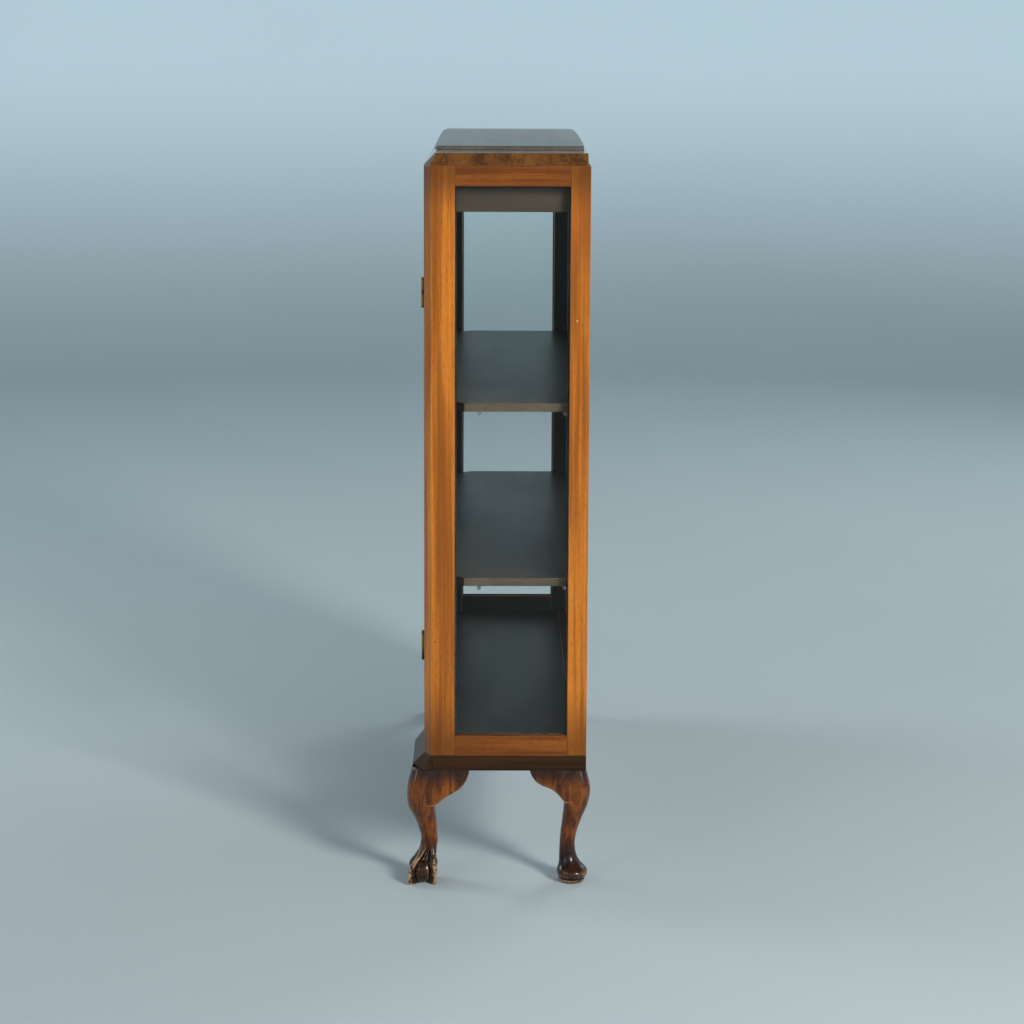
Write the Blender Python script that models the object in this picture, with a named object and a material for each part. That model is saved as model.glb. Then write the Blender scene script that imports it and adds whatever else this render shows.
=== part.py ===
"""China cabinet on cabriole legs, with two glazed doors. Metres, +Z up, the doors face -Y."""

import math

import bmesh
import bpy
from mathutils import Vector

# Overall sizes
BODY_WIDTH = 0.965
BODY_DEPTH = 0.2696
LEG_HEIGHT = 0.198
PLINTH_HEIGHT = 0.026
FRAME_HEIGHT = 0.979

# Clearances
GAP = 0.0003
DOOR_GAP = 0.002
HINGE_GAP = 0.003
RUNNING_GAP = 0.0004
PIN_CLEARANCE = 0.0001

# Corner posts, side frames and boards
SIDE_THICKNESS = 0.020
FRONT_STILE_WIDTH = 0.039
BACK_STILE_WIDTH = 0.032
RAIL_HEIGHT = 0.033
CORNER_CANT_X = 0.0196
CORNER_CANT_Y = 0.0113
POST_FACE_WIDTH = 0.042
GLASS_THICKNESS = 0.003
FRIEZE_THICKNESS = 0.012
FRIEZE_DROP = 0.043
BACK_THICKNESS = 0.006
BOARD_THICKNESS = 0.015
DOOR_STOP_DEPTH = 0.012
DOOR_STOP_DROP = 0.008

# Top board and the shallow arched section on it
TOP_THICKNESS = 0.0197
TOP_CHAMFER = 0.018
TOP_BACK_INSET = 0.004
RAISED_END_INSET = 0.118
RAISED_BACK_INSET = 0.007
RAISED_FRONT_INSET = 0.015
RAISED_CANT = 0.011
RAISED_END_FOOT = 0.002
RAISED_END_RISE = 0.0065
RAISED_ARCH_RISE = 0.0075
RAISED_ARCH_STEPS = 40
RAISED_FRONT_RUN = 0.013
RAISED_STRAIGHT_SHARE = 0.35
RAISED_ROUND_STEPS = 6

# Plinth and its breakfront corner blocks
BLOCK_PROJECTION = 0.0204
BLOCK_DEPTH = 0.0404
BLOCK_CANT = 0.036
BLOCK_STRAIGHT = 0.1285
BLOCK_RETURN = 0.040

# Shelves
SHELF_THICKNESS = 0.014
SHELF_CORNER = 0.030
SHELF_SET_BACK = 0.036
SHELF_TOPS = {"lower_shelf": 0.2975, "upper_shelf": 0.5897}

# Legs. A station is a share of the leg's height, how far its centre is in from the corner, and its width.
KNEE_PROJECTION = 0.008
LEG_SIDES = 16
LEG_STEPS_PER_STATION = 2
FRONT_LEG = (
    (0.000, 0.0180, 0.040),
    (0.040, 0.0178, 0.048),
    (0.100, 0.0178, 0.0516),
    (0.190, 0.0205, 0.046),
    (0.280, 0.0265, 0.033),
    (0.380, 0.0285, 0.028),
    (0.550, 0.0225, 0.036),
    (0.675, 0.0165, 0.046),
    (0.835, 0.0160, 0.048),
    (1.000, 0.0210, 0.042),
)
BACK_LEG = (
    (0.000, 0.0215, 0.037),
    (0.025, 0.0215, 0.044),
    (0.090, 0.0215, 0.0512),
    (0.150, 0.0250, 0.039),
    (0.210, 0.0285, 0.030),
    (0.350, 0.0294, 0.026),
    (0.545, 0.0225, 0.032),
    (0.700, 0.0157, 0.041),
    (0.835, 0.0160, 0.048),
    (1.000, 0.0210, 0.042),
)
ROUND_SHARE = 0.70
SQUARE_POWER = 3.0
EAR_START = 0.042
EAR_THICKNESS = 0.016
EAR_INSET = 0.001
EAR_TIP = 0.004
EAR_STEPS = 8
FRONT_EAR_REACH = 0.095
FRONT_EAR_DROP = 0.052
BACK_EAR_REACH = 0.093
BACK_EAR_DROP = 0.042

# Doors
DOOR_THICKNESS = 0.020
DOOR_STILE_WIDTH = 0.038
DOOR_TOP_RAIL = 0.040
DOOR_BOTTOM_RAIL = 0.050

# Butt hinges
HINGE_LENGTH = 0.050
HINGE_INSET = 0.150
KNUCKLE_RADIUS = 0.0024
PIN_RADIUS = 0.0010
LEAF_THICKNESS = 0.001
LEAF_DEPTH = 0.016
TAB_INSET = 0.0002
ROUND_SIDES = 24

# Lock, measured from the frame's foot and from the meeting stile's back
LOCK_RISE = 0.466
CASE_WIDTH = 0.028
CASE_HEIGHT = 0.045
CASE_DEPTH = 0.0082
KEY_DROP = 0.008
CHAMBER_RADIUS = 0.0056
CHAMBER_DEPTH = 0.006
BOLT_RISE = 0.011
BOLT_HEIGHT = 0.007
BOLT_THICKNESS = 0.004
BOLT_LENGTH = 0.022
BOLT_THROW = 0.012
KEEPER_WIDTH = 0.008
KEEPER_HEIGHT = 0.019
KEEPER_SET_BACK = 0.001
KEY_SHAFT_RADIUS = 0.002
KEY_BOW_HEIGHT = 0.020
KEY_BOW_DEPTH = 0.0106
KEY_BOW_WIRE = 0.0027
KEY_BOW_THICKNESS = 0.003
KEY_SHOULDER = 0.0012
KEY_BIT_REACH = 0.0048
KEY_BIT_THICKNESS = 0.0014
KEY_BIT_LENGTH = 0.004
ESCUTCHEON_WIDTH = 0.022
ESCUTCHEON_HEIGHT = 0.034
ESCUTCHEON_THICKNESS = 0.0012
KEYHOLE_RADIUS = 0.0026
KEYHOLE_SLOT = 0.0024
KEYHOLE_DROP = 0.0056

# Slide bolt behind the left door
GUIDE_WIDTH = 0.020
GUIDE_DEPTH = 0.0075
GUIDE_HEIGHT = 0.035
GUIDE_DROP = 0.010
ROD_RADIUS = 0.0025
ROD_LENGTH = 0.080
ROD_THROW = 0.012
ROD_KNOB_RADIUS = 0.004
ROD_KNOB_REACH = 0.008
ROD_KNOB_RISE = 0.006

# Derived places
HALF_WIDTH = BODY_WIDTH / 2
DEPTH_OVER_ALL = BODY_DEPTH + BLOCK_PROJECTION + 2 * KNEE_PROJECTION
BODY_BACK = DEPTH_OVER_ALL / 2 - KNEE_PROJECTION
BODY_FRONT = BODY_BACK - BODY_DEPTH
BLOCK_FRONT = BODY_FRONT - BLOCK_PROJECTION
BLOCK_BACK = BLOCK_FRONT + BLOCK_DEPTH
INNER_SIDE = HALF_WIDTH - SIDE_THICKNESS
POST_INNER = HALF_WIDTH - POST_FACE_WIDTH
DOOR_BACK = BODY_FRONT + DOOR_THICKNESS
BEHIND_DOOR = DOOR_BACK + GAP
SIDE_OPENING_FRONT = BODY_FRONT + CORNER_CANT_Y + FRONT_STILE_WIDTH
SIDE_OPENING_BACK = BODY_BACK - BACK_STILE_WIDTH
PANEL_FRONT = BODY_BACK - BACK_THICKNESS
FRAME_FOOT = LEG_HEIGHT + PLINTH_HEIGHT
FRAME_TOP = FRAME_FOOT + FRAME_HEIGHT
RAISED_FOOT = FRAME_TOP + TOP_THICKNESS
DOOR_FOOT = FRAME_FOOT + DOOR_GAP
DOOR_HEAD = FRAME_TOP - RAIL_HEIGHT - DOOR_GAP
DOOR_EDGE = POST_INNER - HINGE_GAP
HINGE_X = POST_INNER - HINGE_GAP / 2
HINGE_Y = BODY_FRONT - KNUCKLE_RADIUS - GAP
LOCK_X = DOOR_GAP / 2 + DOOR_STILE_WIDTH / 2
LOCK_Z = FRAME_FOOT + LOCK_RISE
KEY_Z = LOCK_Z - KEY_DROP
BOLT_Y = BEHIND_DOOR + CASE_DEPTH / 2
BOLT_Z = LOCK_Z + BOLT_RISE
CASE_FACE = LOCK_X - CASE_WIDTH / 2
STOP_FOOT = FRAME_TOP - RAIL_HEIGHT - DOOR_STOP_DROP
ROD_Y = BEHIND_DOOR + GUIDE_DEPTH / 2
ROD_TOP = STOP_FOOT - DOOR_GAP

SIDES = {"right": 1, "left": -1}


def finish(name, colour, roughness, metallic=0.0, transmission=0.0):
    """A Principled BSDF material with uniform values."""
    material = bpy.data.materials.new(name)
    material.use_nodes = True
    shader = material.node_tree.nodes["Principled BSDF"]
    shader.inputs["Base Color"].default_value = (*colour, 1.0)
    shader.inputs["Roughness"].default_value = roughness
    shader.inputs["Metallic"].default_value = metallic
    shader.inputs["Transmission Weight"].default_value = transmission
    return material


def add_object(name, mesh_builder, material, parent=None):
    """Turn a bmesh into a named object, joined to its parent where it stands."""
    bmesh.ops.recalc_face_normals(mesh_builder, faces=mesh_builder.faces)
    mesh = bpy.data.meshes.new(name)
    mesh_builder.to_mesh(mesh)
    mesh_builder.free()
    mesh.materials.append(material)
    piece = bpy.data.objects.new(name, mesh)
    bpy.context.scene.collection.objects.link(piece)
    if parent:
        piece.parent = parent
        piece.matrix_parent_inverse = parent.matrix_world.inverted()
    return piece


def add_axis(name, place, parent=None):
    """An empty on a joint's axis, for the pieces that move with it."""
    axis = bpy.data.objects.new(name, None)
    bpy.context.scene.collection.objects.link(axis)
    axis.location = place
    if parent:
        axis.parent = parent
        axis.matrix_parent_inverse = parent.matrix_world.inverted()
    bpy.context.view_layer.update()
    return axis


def loft(name, rings, material, parent=None):
    """Join closed rings of points into one solid with flat caps."""
    shape = bmesh.new()
    loops = [[shape.verts.new(point) for point in ring] for ring in rings]
    for lower, upper in zip(loops, loops[1:]):
        for i in range(len(lower)):
            shape.faces.new((lower[i - 1], lower[i], upper[i], upper[i - 1]))
    shape.faces.new(loops[0])
    shape.faces.new(loops[-1])
    return add_object(name, shape, material, parent)


def prism(name, outline, axis, start, end, material, parent=None):
    """Extrude an outline of the other two axes, in X, Y, Z order, along one axis."""
    rings = []
    for along in (start, end):
        ring = []
        for first, second in outline:
            place = [first, second]
            place.insert("XYZ".index(axis), along)
            ring.append(place)
        rings.append(ring)
    return loft(name, rings, material, parent)


def box(name, low, high, material, parent=None):
    """A block between two corners."""
    outline = [(low[0], low[1]), (high[0], low[1]), (high[0], high[1]), (low[0], high[1])]
    return prism(name, outline, "Z", low[2], high[2], material, parent)


def circle(centre, radius, sides=ROUND_SIDES):
    """Points round a circle of two coordinates."""
    turns = [math.tau * i / sides for i in range(sides)]
    return [(centre[0] + radius * math.cos(turn), centre[1] + radius * math.sin(turn)) for turn in turns]


def oval(centre, width, height):
    """Points round an oval of two coordinates."""
    return [(centre[0] + x * width, centre[1] + y * height) for x, y in circle((0.0, 0.0), 0.5)]


def mirrored(outline, side):
    """An outline of the right side, put on the side asked for."""
    return [(side * x, y) for x, y in outline]


def span(side, inner, outer):
    """Lowest and highest X of a stretch given on the right side."""
    return min(side * inner, side * outer), max(side * inner, side * outer)


def side_box(name, side, inner, outer, y_range, z_range, material, parent=None):
    """A block given on the right side, put on the side asked for."""
    low_x, high_x = span(side, inner, outer)
    low = (low_x, y_range[0], z_range[0])
    high = (high_x, y_range[1], z_range[1])
    return box(name, low, high, material, parent)


def inset(outline, distances):
    """Move each edge of a counter-clockwise outline inwards by its own distance."""
    edges = []
    for i, distance in enumerate(distances):
        start = Vector(outline[i])
        along = (Vector(outline[(i + 1) % len(outline)]) - start).normalized()
        edges.append((start + Vector((-along.y, along.x)) * distance, along))
    moved = []
    for i, (point, along) in enumerate(edges):
        before, direction = edges[i - 1]
        share = (point - before).cross(along) / direction.cross(along)
        moved.append(before + direction * share)
    return moved


def hide_tool(tool):
    """Keep a cutter or a joined shape out of the model itself."""
    tool.hide_render = True
    tool.display_type = "WIRE"


def combine(piece, tool, operation):
    """Cut a tool from a piece, or join it on."""
    modifier = piece.modifiers.new(tool.name, "BOOLEAN")
    modifier.operation = operation
    modifier.object = tool
    hide_tool(tool)


def shade_round(piece):
    """Smooth shading with crisp edges."""
    piece.data.shade_smooth()
    piece.data.set_sharp_from_angle(angle=math.radians(35))


def build_side_frames(frame_wood, dark_wood, glass):
    """Posts, rails, pane and inner frieze board of both ends."""
    side_y = BODY_FRONT + CORNER_CANT_Y
    post = [
        (HALF_WIDTH, side_y),
        (HALF_WIDTH, SIDE_OPENING_FRONT),
        (INNER_SIDE, SIDE_OPENING_FRONT),
        (INNER_SIDE, DOOR_BACK),
        (POST_INNER, DOOR_BACK),
        (POST_INNER, BODY_FRONT),
        (HALF_WIDTH - CORNER_CANT_X, BODY_FRONT),
    ]
    between = (SIDE_OPENING_FRONT + GAP, SIDE_OPENING_BACK - GAP)
    head = FRAME_TOP - GAP
    pane_middle = HALF_WIDTH - SIDE_THICKNESS / 2
    rail_foot = FRAME_TOP - RAIL_HEIGHT
    for name, side in SIDES.items():
        prism(f"front_post_{name}", mirrored(post, side), "Z", FRAME_FOOT, head, frame_wood)
        side_box(f"back_post_{name}", side, INNER_SIDE, HALF_WIDTH,
                 (SIDE_OPENING_BACK, BODY_BACK), (FRAME_FOOT, head), frame_wood)
        side_box(f"side_top_rail_{name}", side, INNER_SIDE, HALF_WIDTH,
                 between, (rail_foot, head), frame_wood)
        side_box(f"side_bottom_rail_{name}", side, INNER_SIDE, HALF_WIDTH,
                 between, (FRAME_FOOT, FRAME_FOOT + RAIL_HEIGHT), frame_wood)
        side_box(f"side_glass_{name}", side, pane_middle - GLASS_THICKNESS / 2,
                 pane_middle + GLASS_THICKNESS / 2, between,
                 (FRAME_FOOT + RAIL_HEIGHT + GAP, rail_foot - GAP), glass)
        side_box(f"side_frieze_{name}", side, INNER_SIDE - GAP - FRIEZE_THICKNESS, INNER_SIDE - GAP,
                 (BEHIND_DOOR, PANEL_FRONT - GAP), (rail_foot - FRIEZE_DROP, head), dark_wood)


def build_carcass(frame_wood, dark_wood, panel_wood):
    """Front top rail with its door stop, bottom board and back panel."""
    rail_foot = FRAME_TOP - RAIL_HEIGHT
    stop_back = BEHIND_DOOR + DOOR_STOP_DEPTH
    section = [
        (BODY_FRONT, rail_foot),
        (BEHIND_DOOR, rail_foot),
        (BEHIND_DOOR, STOP_FOOT),
        (stop_back, STOP_FOOT),
        (stop_back, FRAME_TOP - GAP),
        (BODY_FRONT, FRAME_TOP - GAP),
    ]
    half = POST_INNER - GAP
    rail = prism("front_top_rail", section, "X", -half, half, frame_wood)
    socket_outline = circle((-LOCK_X, ROD_Y), ROD_RADIUS + RUNNING_GAP)
    socket = prism("rod_socket", socket_outline, "Z", STOP_FOOT - DOOR_GAP, STOP_FOOT + ROD_THROW + DOOR_GAP,
                   frame_wood)
    combine(rail, socket, "DIFFERENCE")
    inner = INNER_SIDE - GAP
    box("bottom_board", (-inner, BLOCK_BACK + GAP, FRAME_FOOT - BOARD_THICKNESS),
        (inner, BODY_BACK - SIDE_THICKNESS - GAP, FRAME_FOOT - GAP), dark_wood)
    box("back_panel", (-inner, PANEL_FRONT, FRAME_FOOT), (inner, BODY_BACK, FRAME_TOP - GAP), panel_wood)


def raised_section(x, rise, set_back):
    """The raised section cut across at one place: square behind, rounded over in front."""
    back = BODY_BACK - RAISED_BACK_INSET
    front = BODY_FRONT + RAISED_FRONT_INSET + set_back
    ring = [(x, back, RAISED_FOOT), (x, back, RAISED_FOOT + rise)]
    for step in range(RAISED_ROUND_STEPS + 1):
        turn = math.pi / 2 * step / RAISED_ROUND_STEPS
        height = rise * (RAISED_STRAIGHT_SHARE + (1 - RAISED_STRAIGHT_SHARE) * math.cos(turn))
        ring.append((x, front + RAISED_FRONT_RUN * (1 - math.sin(turn)), RAISED_FOOT + height))
    ring.append((x, front, RAISED_FOOT))
    return ring


def build_top(dark_wood):
    """Chamfered top board and the shallow arched section that stands on it."""
    back = BODY_BACK - TOP_BACK_INSET
    cant_x = HALF_WIDTH - CORNER_CANT_X
    cant_y = BODY_FRONT + CORNER_CANT_Y
    outline = [
        (HALF_WIDTH, back),
        (-HALF_WIDTH, back),
        (-HALF_WIDTH, cant_y),
        (-cant_x, BODY_FRONT),
        (cant_x, BODY_FRONT),
        (HALF_WIDTH, cant_y),
    ]
    moves = [0.0] + [TOP_CHAMFER] * (len(outline) - 1)
    upper = inset(outline, moves)
    head = RAISED_FOOT - GAP
    loft("top_board", [[(x, y, FRAME_TOP) for x, y in outline], [(x, y, head) for x, y in upper]], dark_wood)

    half = HALF_WIDTH - RAISED_END_INSET
    level = half - RAISED_CANT
    ends = []
    for step in range(RAISED_ROUND_STEPS):
        turn = math.pi / 2 * step / RAISED_ROUND_STEPS
        rise = RAISED_END_FOOT + (RAISED_END_RISE - RAISED_END_FOOT) * math.sin(turn)
        ends.append((half - RAISED_CANT * (1 - math.cos(turn)), rise))
    arch = []
    for step in range(RAISED_ARCH_STEPS + 1):
        share = 1 - 2 * step / RAISED_ARCH_STEPS
        arch.append((level * share, RAISED_END_RISE + RAISED_ARCH_RISE * (1 - share * share)))
    far_ends = [(-x, rise) for x, rise in reversed(ends)]
    rings = [raised_section(x, rise, max(0.0, abs(x) - level)) for x, rise in ends + arch + far_ends]
    loft("raised_top", rings, dark_wood)


def build_plinth(dark_wood):
    """Plinth rails and the flared corner blocks over the front legs."""
    foot = LEG_HEIGHT
    head = FRAME_FOOT - GAP
    block_end = HALF_WIDTH - BLOCK_CANT - BLOCK_STRAIGHT - BLOCK_RETURN
    upper = [
        (HALF_WIDTH, BLOCK_BACK),
        (block_end, BLOCK_BACK),
        (block_end, BODY_FRONT),
        (block_end + BLOCK_RETURN, BODY_FRONT),
        (HALF_WIDTH - CORNER_CANT_X, BODY_FRONT),
        (HALF_WIDTH, BODY_FRONT + CORNER_CANT_Y),
    ]
    lower = [
        (HALF_WIDTH, BLOCK_BACK),
        (block_end, BLOCK_BACK),
        (block_end, BODY_FRONT),
        (block_end + BLOCK_RETURN, BLOCK_FRONT),
        (HALF_WIDTH - BLOCK_CANT, BLOCK_FRONT),
        (HALF_WIDTH, BODY_FRONT),
    ]
    for name, side in SIDES.items():
        low_ring = [(x, y, foot) for x, y in mirrored(lower, side)]
        high_ring = [(x, y, head) for x, y in mirrored(upper, side)]
        loft(f"plinth_block_{name}", [low_ring, high_ring], dark_wood)
        side_box(f"plinth_side_{name}", side, INNER_SIDE, HALF_WIDTH, (BLOCK_BACK + GAP, BODY_BACK),
                 (foot, head), dark_wood)
    front = block_end - GAP
    box("plinth_front", (-front, BODY_FRONT, foot), (front, BLOCK_BACK, head), dark_wood)
    inner = INNER_SIDE - GAP
    box("plinth_back", (-inner, BODY_BACK - SIDE_THICKNESS, foot), (inner, BODY_BACK, head), dark_wood)


def blended(stations, index, share):
    """A smooth value between two stations, from those before and after."""
    before = stations[max(index - 1, 0)]
    start = stations[index]
    end = stations[index + 1]
    after = stations[min(index + 2, len(stations) - 1)]
    values = []
    for a, b, c, d in zip(before, start, end, after):
        bend = 2 * a - 5 * b + 4 * c - d
        twist = 3 * (b - c) + d - a
        values.append(b + 0.5 * share * (c - a + share * (bend + share * twist)))
    return values


def leg_ring(corner, inwards, station):
    """One level of a leg: round below, squarer at the knee."""
    height, centre_inset, width = station
    power = 2.0 + SQUARE_POWER * max(0.0, height - ROUND_SHARE) / (1.0 - ROUND_SHARE)
    centre_x = corner[0] + inwards[0] * centre_inset
    centre_y = corner[1] + inwards[1] * centre_inset
    ring = []
    for i in range(LEG_SIDES):
        turn = math.tau * i / LEG_SIDES
        across = math.cos(turn)
        along = math.sin(turn)
        reach = width / 2 * (abs(across) ** power + abs(along) ** power) ** (-1 / power)
        ring.append((centre_x + reach * across, centre_y + reach * along, height * (LEG_HEIGHT - GAP)))
    return ring


def build_leg(name, corner, inwards, stations, material):
    """A cabriole leg as rings along its curve."""
    levels = []
    for index in range(len(stations) - 1):
        for step in range(LEG_STEPS_PER_STATION):
            levels.append(blended(stations, index, step / LEG_STEPS_PER_STATION))
    levels.append(stations[-1])
    leg = loft(name, [leg_ring(corner, inwards, level) for level in levels], material)
    shade_round(leg)


def ear_outline(corner, direction, reach, drop, waist):
    """Curved bracket beside a knee: distance along the plinth against height."""
    head = LEG_HEIGHT - GAP
    start = EAR_START + GAP
    outline = [(corner + direction * start, head)]
    for step in range(EAR_STEPS + 1):
        share = step / EAR_STEPS
        swell = math.cos(math.pi / 2 * share) - waist * math.sin(math.tau * share)
        low = head - EAR_TIP - (drop - EAR_TIP) * swell
        outline.append((corner + direction * (start + (reach - start) * share), low))
    outline.append((corner + direction * reach, head))
    return outline


def build_legs(leg_wood):
    """Four legs and the ears beside their knees."""
    for name, side in SIDES.items():
        side_plane = side * HALF_WIDTH
        build_leg(f"front_leg_{name}", (side_plane, BLOCK_FRONT), (-side, 1), FRONT_LEG, leg_wood)
        build_leg(f"back_leg_{name}", (side_plane, BODY_BACK), (-side, -1), BACK_LEG, leg_wood)
        outer = side * (HALF_WIDTH - EAR_INSET)
        inner = side * (HALF_WIDTH - EAR_INSET - EAR_THICKNESS)
        front_side = ear_outline(BLOCK_FRONT, 1, FRONT_EAR_REACH, FRONT_EAR_DROP, 0.0)
        prism(f"front_leg_side_ear_{name}", front_side, "X", inner, outer, leg_wood)
        front = ear_outline(side_plane, -side, FRONT_EAR_REACH, FRONT_EAR_DROP, 0.0)
        prism(f"front_leg_front_ear_{name}", front, "Y", BLOCK_FRONT + EAR_INSET,
              BLOCK_FRONT + EAR_INSET + EAR_THICKNESS, leg_wood)
        back_side = ear_outline(BODY_BACK, -1, BACK_EAR_REACH, BACK_EAR_DROP, 0.12)
        prism(f"back_leg_side_ear_{name}", back_side, "X", inner, outer, leg_wood)


def build_shelves(dark_wood):
    """Loose shelves with their front corners cut off."""
    half = INNER_SIDE - GAP
    front = BODY_FRONT + SHELF_SET_BACK
    outline = [
        (half, PANEL_FRONT - GAP),
        (-half, PANEL_FRONT - GAP),
        (-half, front + SHELF_CORNER),
        (-half + SHELF_CORNER, front),
        (half - SHELF_CORNER, front),
        (half, front + SHELF_CORNER),
    ]
    for name, rise in SHELF_TOPS.items():
        head = FRAME_FOOT + rise
        prism(name, outline, "Z", head - SHELF_THICKNESS, head, dark_wood)


def build_door(name, side, axis, door_wood, glass):
    """Stiles, rails and pane of one door. Returns its meeting stile."""
    y_range = (BODY_FRONT, DOOR_BACK)
    heights = (DOOR_FOOT, DOOR_HEAD)
    meeting_edge = DOOR_GAP / 2
    meeting_inner = meeting_edge + DOOR_STILE_WIDTH
    hinge_inner = DOOR_EDGE - DOOR_STILE_WIDTH
    side_box(f"door_hinge_stile_{name}", side, hinge_inner, DOOR_EDGE, y_range, heights, door_wood, axis)
    meeting = side_box(f"door_meeting_stile_{name}", side, meeting_edge, meeting_inner, y_range, heights,
                       door_wood, axis)
    rail = (meeting_inner + GAP, hinge_inner - GAP)
    pane_foot = DOOR_FOOT + DOOR_BOTTOM_RAIL
    pane_head = DOOR_HEAD - DOOR_TOP_RAIL
    side_box(f"door_top_rail_{name}", side, *rail, y_range, (pane_head, DOOR_HEAD), door_wood, axis)
    side_box(f"door_bottom_rail_{name}", side, *rail, y_range, (DOOR_FOOT, pane_foot), door_wood, axis)
    middle = (BODY_FRONT + DOOR_BACK) / 2
    pane_y = (middle - GLASS_THICKNESS / 2, middle + GLASS_THICKNESS / 2)
    side_box(f"door_glass_{name}", side, *rail, pane_y, (pane_foot + GAP, pane_head - GAP), glass, axis)
    return meeting


def leaf_outline(foot, knuckles):
    """Comb outline of a hinge leaf: distance from the axis back against height."""
    root = KNUCKLE_RADIUS + GAP
    tip = PIN_RADIUS + PIN_CLEARANCE + LEAF_THICKNESS / 2
    head = foot + HINGE_LENGTH
    outline = [(root + LEAF_DEPTH, foot), (root + LEAF_DEPTH, head), (root, head)]
    for low, high in reversed(knuckles):
        outline.extend([(root, high - TAB_INSET), (tip, high - TAB_INSET), (tip, low + TAB_INSET),
                        (root, low + TAB_INSET)])
    outline.append((root, foot))
    return [(HINGE_Y + back, height) for back, height in outline]


def build_hinge(name, side, axis, foot, brass):
    """A butt hinge: the post's leaf carries the pin, and the door's turns on it."""
    third = HINGE_LENGTH / 3
    outer = [(foot, foot + third - GAP), (foot + 2 * third + GAP, foot + HINGE_LENGTH)]
    middle = [(foot + third, foot + 2 * third)]
    near = HINGE_GAP / 2 - GAP - LEAF_THICKNESS
    far = HINGE_GAP / 2 - GAP
    centre = (side * HINGE_X, HINGE_Y)
    ring = circle(centre, KNUCKLE_RADIUS)

    post_leaf = prism(f"hinge_post_leaf_{name}", leaf_outline(foot, outer), "X",
                      side * (HINGE_X + near), side * (HINGE_X + far), brass)
    for index, (low, high) in enumerate(outer):
        combine(post_leaf, prism(f"post_knuckle_{name}_{index}", ring, "Z", low, high, brass), "UNION")
    pin = prism(f"hinge_pin_{name}", circle(centre, PIN_RADIUS), "Z", foot + third / 2,
                foot + HINGE_LENGTH - third / 2, brass)
    combine(post_leaf, pin, "UNION")

    door_leaf = prism(f"hinge_door_leaf_{name}", leaf_outline(foot, middle), "X",
                      side * (HINGE_X - near), side * (HINGE_X - far), brass, axis)
    for low, high in middle:
        knuckle = prism(f"door_knuckle_{name}", ring, "Z", low, high, brass, axis)
        combine(door_leaf, knuckle, "UNION")
    bore = prism(f"hinge_bore_{name}", circle(centre, PIN_RADIUS + PIN_CLEARANCE), "Z", foot,
                 foot + HINGE_LENGTH, brass, axis)
    combine(door_leaf, bore, "DIFFERENCE")


def build_lock(stile, axis, brass, steel):
    """Case, bolt, key and escutcheon on the right door."""
    key_ring = circle((LOCK_X, KEY_Z), CHAMBER_RADIUS)
    key_way = prism("key_way", key_ring, "Y", BODY_FRONT - GAP, DOOR_BACK + GAP, steel, axis)
    combine(stile, key_way, "DIFFERENCE")

    case = box("lock_case", (CASE_FACE, BEHIND_DOOR, LOCK_Z - CASE_HEIGHT / 2),
               (CASE_FACE + CASE_WIDTH, BEHIND_DOOR + CASE_DEPTH, LOCK_Z + CASE_HEIGHT / 2), steel, axis)
    chamber = prism("key_chamber", key_ring, "Y", BEHIND_DOOR - GAP, BEHIND_DOOR + CHAMBER_DEPTH,
                    steel, axis)
    combine(case, chamber, "DIFFERENCE")
    half_y = BOLT_THICKNESS / 2 + RUNNING_GAP
    half_z = BOLT_HEIGHT / 2 + RUNNING_GAP
    slot = box("bolt_slot", (CASE_FACE - DOOR_GAP, BOLT_Y - half_y, BOLT_Z - half_z),
               (CASE_FACE + BOLT_LENGTH + RUNNING_GAP, BOLT_Y + half_y, BOLT_Z + half_z), steel, axis)
    combine(case, slot, "DIFFERENCE")

    bolt_axis = add_axis("lock_bolt_axis", (CASE_FACE, BOLT_Y, BOLT_Z), axis)
    box("lock_bolt", (CASE_FACE, BOLT_Y - BOLT_THICKNESS / 2, BOLT_Z - BOLT_HEIGHT / 2),
        (CASE_FACE + BOLT_LENGTH, BOLT_Y + BOLT_THICKNESS / 2, BOLT_Z + BOLT_HEIGHT / 2), brass, bolt_axis)

    plate_back = BODY_FRONT - GAP
    plate_front = plate_back - ESCUTCHEON_THICKNESS
    rim = oval((LOCK_X, KEY_Z), ESCUTCHEON_WIDTH, ESCUTCHEON_HEIGHT)
    plate = prism("escutcheon", rim, "Y", plate_front, plate_back, brass, axis)
    past = (plate_front - GAP, plate_back + GAP)
    keyhole = prism("keyhole", circle((LOCK_X, KEY_Z), KEYHOLE_RADIUS), "Y", *past, brass, axis)
    combine(plate, keyhole, "DIFFERENCE")
    slit = box("keyhole_slot", (LOCK_X - KEYHOLE_SLOT / 2, past[0], KEY_Z - KEYHOLE_DROP),
               (LOCK_X + KEYHOLE_SLOT / 2, past[1], KEY_Z), brass, axis)
    combine(plate, slit, "DIFFERENCE")
    build_key(plate_front, axis, steel)


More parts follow.
